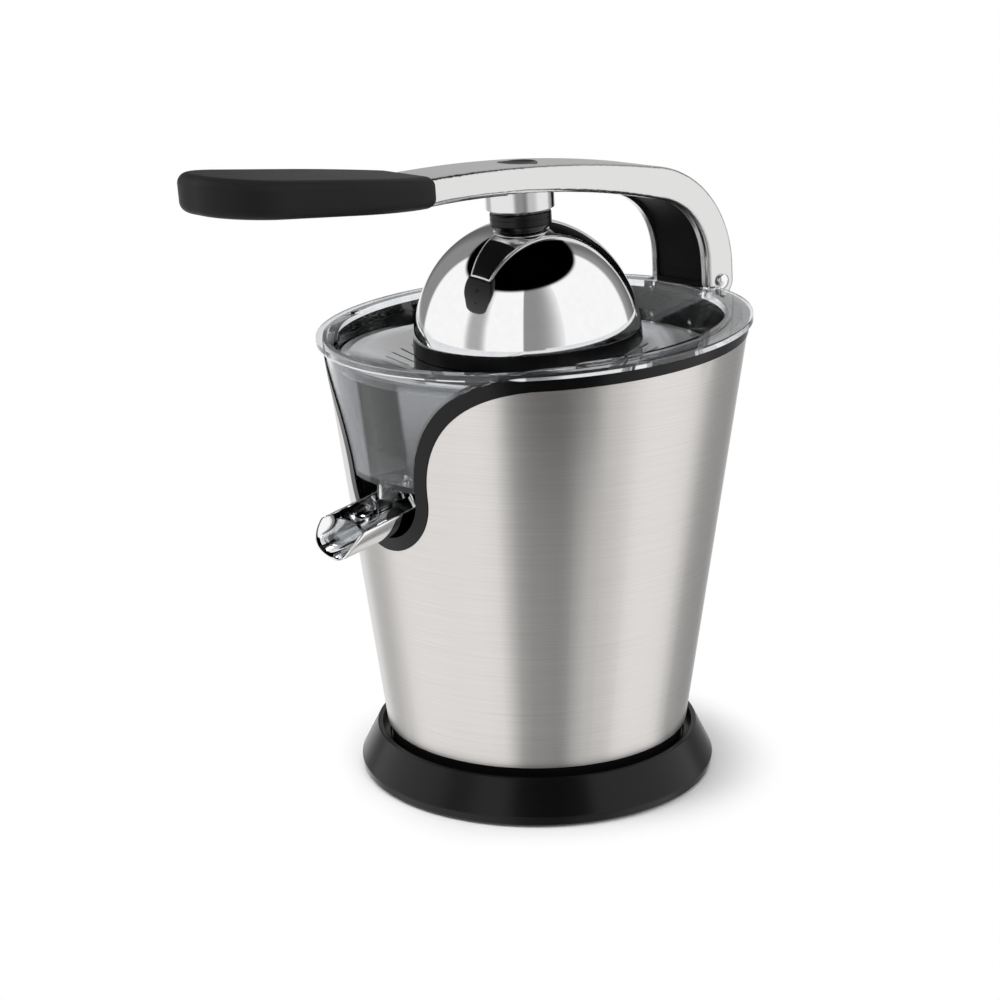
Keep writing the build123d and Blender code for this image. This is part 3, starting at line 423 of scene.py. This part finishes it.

# %% [markdown]
# ## Putting a piece into the scene
# A finished bmesh becomes an object that rides on a body and takes its slot's finish, and most pieces also
# take the place of a CAD node, which is hidden. The place stays in the mesh, so the object itself sits at
# the origin. Smooth shading with sharp edges above an angle keeps crisp corners crisp, and normals weighted
# by area keep the flats flat beside their rounded edges.

# %% Piece helpers
smooth_all = 180


def add_object(name, data):
    """Puts a mesh, a lamp or a camera into the scene."""
    made = bpy.data.objects.new(name, data)
    bpy.context.scene.collection.objects.link(made)
    return made


def add_mesh(mesh, name, material):
    """Ends a bmesh as an object with one material."""
    data = bpy.data.meshes.new(name)
    mesh.to_mesh(data)
    mesh.free()
    data.materials.append(material)
    return add_object(name, data)


def add_extra(mesh, name, body, slot, place=None, sharp=32):
    """Ends a bmesh as a piece that rides on a body and takes a slot's finish."""
    if place:
        bmesh.ops.transform(mesh, matrix=place, verts=mesh.verts)
    made = add_mesh(mesh, name, slot_finish[slot])
    made.data.shade_smooth()
    made.data.set_sharp_from_angle(angle=radians(sharp))
    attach(made, body)
    if sharp < smooth_all:
        made.modifiers.new("even_shading", "WEIGHTED_NORMAL").keep_sharp = True
    print(name, "has", len(made.data.polygons), "faces and rides on", body)
    return made


def add_piece(mesh, node, place=None, sharp=32):
    """Ends a bmesh as a piece that takes the place of a CAD node."""
    made = add_extra(mesh, node + "_dressed", node_body[node], node_slot[node], place, sharp)
    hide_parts(node)
    return made


print("pieces can ride on", sorted(set(node_body.values())))

# %% [markdown]
# ## A pen for turned pieces
# Half of this object is turned: the dome, its lining, the bush, the collar and the base are all one
# outline spun round an axis. The pen draws such an outline in the XZ plane, with straight strokes by
# extruding its last point and round ones by spinning it.

# %% Pen and spin
spin_merge = 0.005 * mm


class Outline:
    """A line drawn stroke by stroke in the XZ plane."""

    def __init__(self, x, z):
        self.mesh = bmesh.new()
        self.first = self.mesh.verts.new((x, 0, z))
        self.last = self.first

    def to(self, *points):
        """Carries the line straight from point to point."""
        for x, z in points:
            stroke = bmesh.ops.extrude_vert_indiv(self.mesh, verts=[self.last])
            self.last = stroke["verts"][0]
            self.last.co = (x, 0, z)
        return self

    def arc(self, x, z, turn, steps):
        """Carries the line round a centre, by a turn in degrees that is positive from +X towards +Z."""
        stroke = bmesh.ops.spin(
            self.mesh, geom=[self.last], cent=(x, 0, z), axis=(0, -1, 0), angle=radians(turn), steps=steps
        )
        self.last = [part for part in stroke["geom_last"] if isinstance(part, bmesh.types.BMVert)][0]
        return self

    def close(self):
        """Joins the last point to the first."""
        self.mesh.edges.new((self.last, self.first))
        return self


def spun(outline, steps=128):
    """Spins an outline all the way round Z, with its faces outwards."""
    mesh = outline.mesh
    bmesh.ops.spin(
        mesh, geom=mesh.verts[:] + mesh.edges[:], axis=(0, 0, 1), angle=2 * pi, steps=steps, use_merge=True
    )
    bmesh.ops.remove_doubles(mesh, verts=mesh.verts, dist=spin_merge)
    bmesh.ops.recalc_face_normals(mesh, faces=mesh.faces)
    return mesh


def rolled(mesh, width, steps=2, corner=30):
    """Rolls over every edge that is sharper than a corner angle."""
    edges = [edge for edge in mesh.edges if edge.is_manifold]
    crisp = [edge for edge in edges if edge.calc_face_angle() > radians(corner)]
    bmesh.ops.bevel(
        mesh, geom=crisp, offset=width, affect="EDGES", segments=steps, profile=0.5, material=-1,
        clamp_overlap=True,
    )
    return mesh


print("pen ready")

# %% [markdown]
# ## The chrome dome and its lining
# The cup that presses the fruit is drawn steel over a black lining. Its outline is two arcs that run
# into each other: a wide one up the side and a closer one over the crown. At the bottom the lining turns
# out under the steel as a black rim. A mirror shows every facet, so both bells are spun from true arcs in
# fine steps rather than taken from the CAD triangles.

# %% Dome and lining
dome_drop = 8.8 * mm
dome_radius = 52.7 * mm
dome_rise = 57.5 * mm
side_radius = 65 * mm
crown_share = 2 * dome_radius * side_radius - dome_radius**2 - dome_rise**2
crown_radius = crown_share / (2 * (side_radius - dome_rise))
side_centre = (dome_radius - side_radius, 0)
crown_centre = (0, dome_rise - crown_radius)
crown_start = degrees(atan2(crown_centre[1], -side_centre[0]))
dome_wall = 1.0 * mm
lining = (1.3 * mm, 3.6 * mm)
seat_gap = 0.15 * mm
rim_rise = 6.5 * mm
neck_hole = 9.15 * mm
bell_roll = 0.2 * mm
side_steps = 36
crown_steps = 60
bell_place = dome_frame @ Matrix.Translation((0, 0, -dome_drop))


def side_point(inset, lift):
    """A point of the dome's side at a height above its edge."""
    side = side_radius - inset
    return side_centre[0] + (side**2 - lift**2) ** 0.5, lift


def bell(outer, inner, lift):
    """Outline between two insets from the dome's outside, open below and round the neck."""
    starts = [degrees(asin(lift / (side_radius - inset))) for inset in (outer, inner)]
    ends = [degrees(acos(neck_hole / (crown_radius - inset))) for inset in (outer, inner)]
    line = Outline(*side_point(outer, lift))
    line.arc(*side_centre, crown_start - starts[0], side_steps)
    line.arc(*crown_centre, ends[0] - crown_start, crown_steps)
    line.to((neck_hole, crown_centre[1] + (crown_radius - inner) * sin(radians(ends[1]))))
    line.arc(*crown_centre, crown_start - ends[1], crown_steps)
    return line.arc(*side_centre, starts[1] - crown_start, side_steps)


def lining_bell():
    """The lining's outline, with the rim below the steel."""
    line = bell(*lining, rim_rise)
    line.to(side_point(lining[1], 0), side_point(0, 0), side_point(0, rim_rise - seat_gap))
    line.to(side_point(lining[0], rim_rise - seat_gap))
    return line


def bell_piece(line):
    return rolled(spun(line.close(), steps=192), bell_roll, corner=50)


add_piece(bell_piece(bell(0, dome_wall, rim_rise)), "dome_shell", bell_place)
add_piece(bell_piece(lining_bell()), "dome_liner", bell_place)

# %% [markdown]
# ## The neck
# Between the arm and the dome sit a bright steel collar and a black swivel bush with a groove round it.
# The bush holds the ball of the stud, so it is hollow: its outline goes down round the spigot, in to the
# axis and back up round the ball. Above them a black plug closes the stud's hole: it is flush with the
# arm, and a shallow dish in its top keeps the bright room out of its gloss.

# %% Bush, collar and plug
bush_radius = 14 * mm
bush_top = 52.4 * mm
bush_round = 1.2 * mm
bush_roll = 0.1 * mm
groove_drop = 2.4 * mm
groove_depth = 0.3 * mm
groove_width = 0.4 * mm
spigot_radius = 9 * mm
spigot_bottom = 38.8 * mm
ball_height = 47 * mm
socket_radius = 6.2 * mm
socket_mouth = 5.2 * mm
collar_radius = 15.7 * mm
collar_bore = 4.05 * mm
collar_low = 53.7 * mm
collar_top = 63 * mm
collar_roll = 0.4 * mm
plug_radius = 8.9 * mm
plug_low = 71 * mm
plug_top = 73.9 * mm
plug_lip = 0.5 * mm
plug_slope = 17
plug_roll = 0.3 * mm
neck_steps = 96


def dome_height(radius):
    """Height of the dome's crown at a radius, in the dome's frame."""
    return crown_centre[1] + (crown_radius**2 - radius**2) ** 0.5 - dome_drop


def neck_bush():
    mouth = degrees(acos(socket_mouth / socket_radius))
    line = Outline(socket_mouth, bush_top).to((bush_radius - bush_round, bush_top))
    line.arc(bush_radius - bush_round, bush_top - bush_round, -90, steps=9)
    groove = bush_top - groove_drop
    line.to(
        (bush_radius, groove),
        (bush_radius - groove_depth, groove),
        (bush_radius - groove_depth, groove - groove_width),
        (bush_radius, groove - groove_width),
        (bush_radius, dome_height(bush_radius) + seat_gap),
        (spigot_radius, dome_height(spigot_radius) + seat_gap),
        (spigot_radius, spigot_bottom),
        (0, spigot_bottom),
        (0, ball_height - socket_radius),
    )
    line.arc(0, ball_height, 90 + mouth, steps=20).close()
    return rolled(spun(line, neck_steps), bush_roll, corner=40)


def neck_collar():
    line = Outline(collar_bore, collar_low).to((collar_radius, collar_low), (collar_radius, collar_top))
    line.to((collar_bore, collar_top)).close()
    return rolled(spun(line, neck_steps), collar_roll, steps=3)


def arm_plug():
    inside = plug_radius - plug_lip
    line = Outline(0, plug_low).to((plug_radius, plug_low), (plug_radius, plug_top), (inside, plug_top))
    line.arc(0, plug_top + inside / tan(radians(plug_slope)), -plug_slope, steps=8)
    return rolled(spun(line, neck_steps), plug_roll, corner=40)


add_piece(neck_bush(), "neck_bush", dome_frame)
add_piece(neck_collar(), "neck_collar", dome_frame)
add_piece(arm_plug(), "arm_plug", dome_frame)

# %% [markdown]
# ## The base ring
# The black ring under the body flares out to the table and is hollowed at the top, so that the steel
# shell seems to stand in a dark trench. It is one outline again, drawn from the chamfer at the table up
# the flank, over the thin rim and down into the trench, and its edges are rolled over.

# %% Base ring
base_low = 1 * mm
base_foot_radius = 84 * mm
base_radius = 84.7 * mm
base_lip = 5 * mm
base_top = 20.8 * mm
base_top_radius = 76.6 * mm
base_rim = 2.4 * mm
trench_floor = 16 * mm
trench_radius = 70.6 * mm
base_seat = 14 * mm
base_bore = 64 * mm
base_step = 6 * mm
base_step_radius = 68.15 * mm
base_roll = 0.4 * mm
groove_radii = (71.85 * mm, 79.15 * mm)
groove_top = 3.65 * mm


def base_ring():
    line = Outline(groove_radii[1], base_low).to(
        (base_foot_radius, base_low),
        (base_radius, base_lip),
        (base_top_radius, base_top),
        (base_top_radius - base_rim, base_top),
        (base_top_radius - base_rim, trench_floor),
        (trench_radius, trench_floor),
        (trench_radius, base_seat),
        (base_bore, base_seat),
        (base_bore, base_step),
        (base_step_radius, base_step),
        (base_step_radius, base_low),
        (groove_radii[0], base_low),
        (groove_radii[0], groove_top),
        (groove_radii[1], groove_top),
    )
    return rolled(spun(line.close(), steps=160), base_roll, steps=3)


add_piece(base_ring(), "base_ring")

# %% [markdown]
# ## The pouring spout
# The spout is a polished scoop: a round trough whose lip falls away in a curve. Its cross section is an
# arc that the pen spins, and extruding that arc towards the front gives a sheet. Every line along the
# trough then ends where the lip's curve says for its height, and Solidify and a subdivision give the
# sheet its thickness and a soft edge.

# %% Spout
spout_pivot = (0, -61.977 * mm, 146 * mm)
spout_fall = radians(12.5)
spout_place = Matrix.Translation(spout_pivot) @ Matrix.Rotation(spout_fall, 4, "X")
spout_radius = 16.5 * mm
spout_lift = 5.5 * mm
spout_edge = 2.5 * mm
spout_wall = 1.2 * mm
spout_root = 3 * mm
spout_rows = 24
spout_steps = 40
lip_points = ((2.5 * mm, 49 * mm), (-4 * mm, 56 * mm), (-11 * mm, 57 * mm))


def lip_reach(height):
    """How far the trough runs forward at a height: the parabola through the three points of the lip."""
    total = 0
    for index, (at, reach) in enumerate(lip_points):
        others = [other for place, (other, _) in enumerate(lip_points) if place != index]
        total += reach * (height - others[0]) * (height - others[1]) / ((at - others[0]) * (at - others[1]))
    return total


def end_edges(grown):
    """The edges at the far side of what an extrusion made."""
    edges = [part for part in grown if isinstance(part, bmesh.types.BMEdge)]
    return [edge for edge in edges if all(vert in grown for vert in edge.verts)]


def spout():
    half = degrees(acos((spout_lift - spout_edge) / spout_radius))
    middle = spout_radius - spout_wall / 2
    turn = radians(half)
    line = Outline(-middle * sin(turn), spout_lift - middle * cos(turn))
    mesh = line.arc(0, spout_lift, 2 * half, spout_steps).mesh
    last = mesh.edges[:]
    for row in range(1, spout_rows + 1):
        last = end_edges(bmesh.ops.extrude_edge_only(mesh, edges=last)["geom"])
        for vert in {vert for edge in last for vert in edge.verts}:
            vert.co.y = row / spout_rows
    for vert in mesh.verts:
        vert.co.y = spout_root - vert.co.y * (spout_root + lip_reach(vert.co.z))
    bmesh.ops.recalc_face_normals(mesh, faces=mesh.faces)
    return mesh


spout_piece = add_piece(spout(), "spout", spout_place, smooth_all)
thickness = spout_piece.modifiers.new("wall", "SOLIDIFY")
thickness.thickness = spout_wall
thickness.offset = 0
soft = spout_piece.modifiers.new("soft", "SUBSURF")
soft.levels = 1
soft.render_levels = 1
reaches = [round(lip_reach(height) / mm) for height in (spout_edge, spout_lift - spout_radius)]
print("spout runs", reaches[0], "mm forward at its edges and", reaches[1], "mm at its floor")

# %% [markdown]
# ## Softened edges
# No moulded or cast edge is a knife edge: a narrow round along it catches the light and tells the eye
# how big the thing is. These pieces keep their CAD shape. Each copy is merged, its flat triangles are
# joined, and its sharp edges are bevelled.

# %% Softened copies
copy_merge = 0.002 * mm
flat_limit = radians(0.2)


def merged(node):
    """A copy of a CAD node's mesh, with its loose triangles joined."""
    mesh = bmesh.new()
    mesh.from_mesh(nodes[node].data)
    bmesh.ops.remove_doubles(mesh, verts=mesh.verts, dist=copy_merge)
    return mesh


def softened(node, width, steps=2, corner=28):
    mesh = merged(node)
    bmesh.ops.dissolve_limit(mesh, angle_limit=flat_limit, verts=mesh.verts, edges=mesh.edges)
    return rolled(mesh, width, steps, corner)


soft_edges = {
    "outer_shell": 0.15 * mm,
    "edge_trim": 0.45 * mm,
    "juice_collector": 0.5 * mm,
    "lever_arm": 0.35 * mm,
    "grip": 0.8 * mm,
    "hinge_bracket": 0.5 * mm,
    "arm_liner": 0.3 * mm,
}
for name, width in soft_edges.items():
    add_piece(softened(name, width), name)

# %% [markdown]
# ## The hinge rivet
# The arm turns on a pin whose two heads are low polished domes. Each head stands a hair off the arm, and
# that dark line round it is what the eye reads as a rivet, so the outline steps in under the head.

# %% Hinge pin
pin_reach = 101.05 * mm
pin_height = 3.5 * mm
pin_radius = 2.5 * mm
head_radius = 3.6 * mm
head_rise = 1.5 * mm
head_gap = 0.7 * mm
head_height = 2.2 * mm
head_steps = 8
pin_roll = 0.15 * mm


def hinge_pin():
    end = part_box("hinge_pin")[1][0]
    seat = end - head_height + head_gap
    ball = (head_radius**2 + head_rise**2) / (2 * head_rise)
    turn = degrees(asin(head_radius / ball))
    line = Outline(0, -end).arc(0, ball - end, turn, head_steps)
    line.to((head_radius, -seat), (pin_radius, -seat), (pin_radius, seat), (head_radius, seat))
    line.to((head_radius, end - head_rise)).arc(0, end - ball, turn, head_steps)
    return rolled(spun(line, steps=48), pin_roll, corner=40)


pin_place = rim_frame @ Matrix.Translation((0, pin_reach, pin_height)) @ Matrix.Rotation(pi / 2, 4, "Y")
add_piece(hinge_pin(), "hinge_pin", pin_place)

# %% [markdown]
# ## The cover under the arm
# The dome mirrors the arm's underside as a black tongue with bright edges: a black strip closes it from
# the grip to the collar. The strip is cut from a copy of the arm itself, so that it follows its curve.
# Two planes cut the length, only the faces that look down stay, and an inset leaves the bright edges.

# %% Underside cover
cover_ends = (-63 * mm, -21.5 * mm)
cover_margin = 0.8 * mm
cover_height = 0.5 * mm
cover_down = -0.8
cover_sideways = 0.02


def arm_cover():
    mesh = merged("lever_arm")
    bmesh.ops.transform(mesh, matrix=rim_frame.inverted(), verts=mesh.verts)
    for place, inner in ((cover_ends[0], True), (cover_ends[1], False)):
        everything = mesh.verts[:] + mesh.edges[:] + mesh.faces[:]
        bmesh.ops.bisect_plane(
            mesh, geom=everything, plane_co=(0, place, 0), plane_no=(0, 1, 0),
            clear_inner=inner, clear_outer=not inner,
        )
    other = [
        face for face in mesh.faces
        if face.normal.z > cover_down or abs(face.normal.x) > cover_sideways
    ]
    bmesh.ops.delete(mesh, geom=other, context="FACES")
    bmesh.ops.dissolve_limit(mesh, angle_limit=flat_limit, verts=mesh.verts, edges=mesh.edges)
    margin = bmesh.ops.inset_region(mesh, faces=mesh.faces, thickness=cover_margin, use_boundary=True)
    bmesh.ops.delete(mesh, geom=margin["faces"], context="FACES")
    grown = bmesh.ops.extrude_face_region(mesh, geom=mesh.faces, use_keep_orig=True)["geom"]
    lowered = [part for part in grown if isinstance(part, bmesh.types.BMVert)]
    bmesh.ops.translate(mesh, vec=(0, 0, -cover_height), verts=lowered)
    bmesh.ops.recalc_face_normals(mesh, faces=mesh.faces)
    return mesh


add_extra(arm_cover(), "arm_cover", "arm", "black_matte", rim_frame)

# %% [markdown]
# ## The return spring
# Under the reamer a coil spring holds up the washer that closes the switch. A small disc that is spun with
# a rise at each step gives the coil. When the fruit is pressed the washer sinks and the spring gets
# shorter, but the piece isn't squashed here: it only gets a mesh of its own.

# %% Return spring
spring_radius = 13 * mm
spring_wire = 0.65 * mm
spring_turns = 4
spring_steps = 48 * spring_turns
spring_low, spring_high = (Vector(corner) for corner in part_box("return_spring"))
spring_middle = (spring_low + spring_high) / 2
spring_length = spring_high.z - spring_low.z
spring_foot = (spring_middle.x, spring_middle.y, spring_low.z)


def return_spring():
    mesh = bmesh.new()
    start = Matrix.Translation((spring_radius, 0, spring_wire)) @ Matrix.Rotation(pi / 2, 4, "X")
    bmesh.ops.create_circle(mesh, cap_ends=True, segments=12, radius=spring_wire, matrix=start)
    rise = (spring_length - 2 * spring_wire) / spring_steps
    bmesh.ops.spin(
        mesh, geom=mesh.faces[:], axis=(0, 0, 1), dvec=(0, 0, rise), angle=2 * pi * spring_turns,
        steps=spring_steps,
    )
    bmesh.ops.recalc_face_normals(mesh, faces=mesh.faces)
    return mesh


spring_piece = add_piece(return_spring(), "return_spring", Matrix.Translation(spring_foot))
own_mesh(spring_piece)

# %% [markdown]
# ## A stage for the picture
# The photograph is a cut-out on white with a soft shadow under the base. The floor takes the shadow
# near the object and fades to plain white away from it, where it meets the white world without a line.

# %% Floor
shadow_reach = (86 * mm, 122 * mm)
floor_radius = 6.0


def floor_finish():
    finish = new_finish("studio_floor")
    across, along, _ = finish.axes(finish.place())
    distance = (across * across + along * along) ** 0.5
    white = finish.smooth(distance, shadow_reach[0], shadow_reach[1])
    paper = finish.node("BsdfDiffuse", {}, {"Color": grey(0.93)})
    glow = finish.node("Emission", {}, {"Color": grey(1.0), "Strength": 1.0})
    finish.node("OutputMaterial", {}, {"Surface": finish.blend(white, paper, glow)})
    return finish.owner


def floor():
    mesh = bmesh.new()
    bmesh.ops.create_circle(mesh, cap_ends=True, segments=96, radius=floor_radius)
    made = add_mesh(mesh, "floor", floor_finish())
    made.visible_glossy = False
    made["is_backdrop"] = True
    return made


print("stage:", floor().name)

# %% [markdown]
# ## The studio's light
# Polished metal is a picture of its room. The room here is a white tent with soft grey gaps between its
# panels and a dark ceiling, and the world shader paints it by direction: one set of gaps above the
# horizon, which the dome mirrors, and one below it, which the body's shell mirrors. One more gap above,
# the product of two stripes, fades to one side. The camera and clear plastic see plain white.

# %% World
# A gap has an azimuth from the front towards the right and the half widths at which it is darkest and
# gone, all in degrees, and then its depth.
dome_gaps = ((-4, 2, 14, 0.58), (184, 8, 14, 0.7), (-100, 20, 25, 0.74), (-142, 24, 42, 0.5))
shell_gaps = ((54, 12, 28, 0.66), (86, 8, 30, 0.35), (-78, 8, 22, 0.45), (186, 14, 34, 0.66))
fading_stripe = (67, 20, 22)
fading_shade = (50, 4, 44)
fading_depth = 0.72
horizon = (-0.1, -0.02)
ceiling_lean = (-0.09, -0.05)
ceiling_edge = (0.72, 0.76)
dull_light = 0.42


def world():
    made = bpy.data.worlds.new("studio")
    bpy.context.scene.world = made
    finish = Finish(made)
    x, y, z = finish.axes(finish.node("TexCoord", output="Generated"))
    level = (x * x + y * y) ** 0.5

    def stripe(azimuth, full, gone):
        """A mask of an upright stripe of the room."""
        facing = (x * sin(radians(azimuth)) - y * cos(radians(azimuth))) / level
        return finish.smooth(facing, cos(radians(gone)), cos(radians(full)))

    def panels(gaps):
        """How bright a row of panels is, with the gaps between them."""
        bright = 1
        for azimuth, full, gone, depth in gaps:
            bright = bright * (1 - stripe(azimuth, full, gone) * depth)
        return bright

    fading = stripe(*fading_stripe) * stripe(*fading_shade) * fading_depth
    high = panels(dome_gaps) * (1 - fading)
    low = panels(shell_gaps)
    upper = finish.smooth(z, *horizon)
    ceiling = 1 - finish.smooth(x * ceiling_lean[0] + y * ceiling_lean[1] + z, *ceiling_edge)
    tent = (low + (high - low) * upper) * ceiling
    seen = finish.node("LightPath", output="Is Camera Ray")
    through = finish.node("LightPath", output="Is Transmission Ray")
    glossy = finish.node("LightPath", output="Is Glossy Ray")
    either = seen + through
    plain = either.math("MINIMUM", either, 1.0)
    mirrored = glossy * (1 - plain)
    dull = (1 - plain) * (1 - glossy)
    strength = plain + mirrored * tent + dull * dull_light
    light = finish.node("Background", {}, {"Color": grey(1.0), "Strength": strength})
    finish.node("OutputWorld", {}, {"Surface": light})
    return made


print("world:", world().name)

# %% [markdown]
# ## A black card
# Glossy black looks black only where it mirrors something dark. A photographer stands a black card beside
# the lens for that. This one is seen in reflections alone, low enough to stay out of the dome.

# %% Card
card_azimuth = radians(58)
card_reach = 260 * mm
card_width = 220 * mm
card_heights = (86 * mm, 168 * mm)


def card():
    mesh = bmesh.new()
    bmesh.ops.create_grid(mesh, x_segments=1, y_segments=1, size=0.5)
    height = card_heights[1] - card_heights[0]
    bmesh.ops.scale(mesh, vec=(card_width, height, 1), verts=mesh.verts)
    stand = Matrix.Translation((0, -card_reach, sum(card_heights) / 2)) @ Matrix.Rotation(pi / 2, 4, "X")
    bmesh.ops.transform(mesh, matrix=Matrix.Rotation(card_azimuth, 4, "Z") @ stand, verts=mesh.verts)
    finish = new_finish("card_black")
    black = finish.node("BsdfDiffuse", {}, {"Color": grey(0.002)})
    finish.node("OutputMaterial", {}, {"Surface": black})
    made = add_mesh(mesh, "black_card", finish.owner)
    made.visible_camera = False
    made.visible_diffuse = False
    made.visible_transmission = False
    made.visible_shadow = False
    made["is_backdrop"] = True
    return made


print("stage:", card().name)

# %% [markdown]
# ## Lamps
# Dull surfaces need a direction in their light, or they look flat. Three wide square lamps give it: one
# from the front, one from the right and one from above. They aren't mirrored, so the metal shows the tent
# alone.

# %% Lamps
lamp_target = Vector((0, 0, 160 * mm))
lamp_size = 0.9


def lamp(name, place, power):
    """A soft square lamp that looks at the middle of the object and isn't mirrored in it."""
    data = bpy.data.lights.new(name, "AREA")
    data.size = lamp_size
    data.energy = power
    made = add_object(name, data)
    made.location = place
    made.rotation_euler = (lamp_target - made.location).to_track_quat("-Z", "Y").to_euler()
    made.visible_glossy = False
    return made


lamps = [
    lamp("key", (-0.5, -1.1, 1.2), power=12.0),
    lamp("fill", (1.2, -0.2, 0.9), power=7.0),
    lamp("top", (-0.1, -0.1, 1.5), power=15.0),
]
print("lamps:", [made.name for made in lamps])

# %% [markdown]
# ## The camera
# The camera was fitted to the rim, the base and the body in the photograph. It stands to the right of
# the front, a little above the dome, and leans by less than a degree.

# %% Camera
camera_azimuth = radians(50)
camera_distance = 920.3 * mm
camera_height = 389.0 * mm
camera_pitch = radians(15.781)
camera_yaw = radians(-1.030)
camera_roll = radians(0.708)
focal_share = 2.0355
sensor_width = 36.0


def camera():
    data = bpy.data.cameras.new("camera")
    data.sensor_width = sensor_width
    data.lens = sensor_width * focal_share
    made = add_object("camera", data)
    place = Matrix.Translation((0, -camera_distance, camera_height))
    stand = Matrix.Rotation(camera_azimuth, 4, "Z") @ place
    turn = Matrix.Rotation(-camera_yaw, 4, "Z") @ Matrix.Rotation(pi / 2 - camera_pitch, 4, "X")
    made.matrix_world = stand @ turn @ Matrix.Rotation(-camera_roll, 4, "Z")
    bpy.context.scene.camera = made
    return made


print("camera at", [round(value, 3) for value in camera().matrix_world.translation])

# %% [markdown]
# ## Last things
# The picture uses the Standard view, so colours come out as they are written. The two boxes, of the CAD
# frame and of the dressed object, are printed side by side.

# %% Finish
bpy.context.scene.view_settings.view_transform = "Standard"
bpy.context.view_layer.update()
boxes = {"cad": cad_box, "visual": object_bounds()}
sizes = {name: [list(corner) for corner in box] for name, box in boxes.items()}
for name, box in sizes.items():
    print(name, "box:", [[round(value, 4) for value in corner] for corner in box])
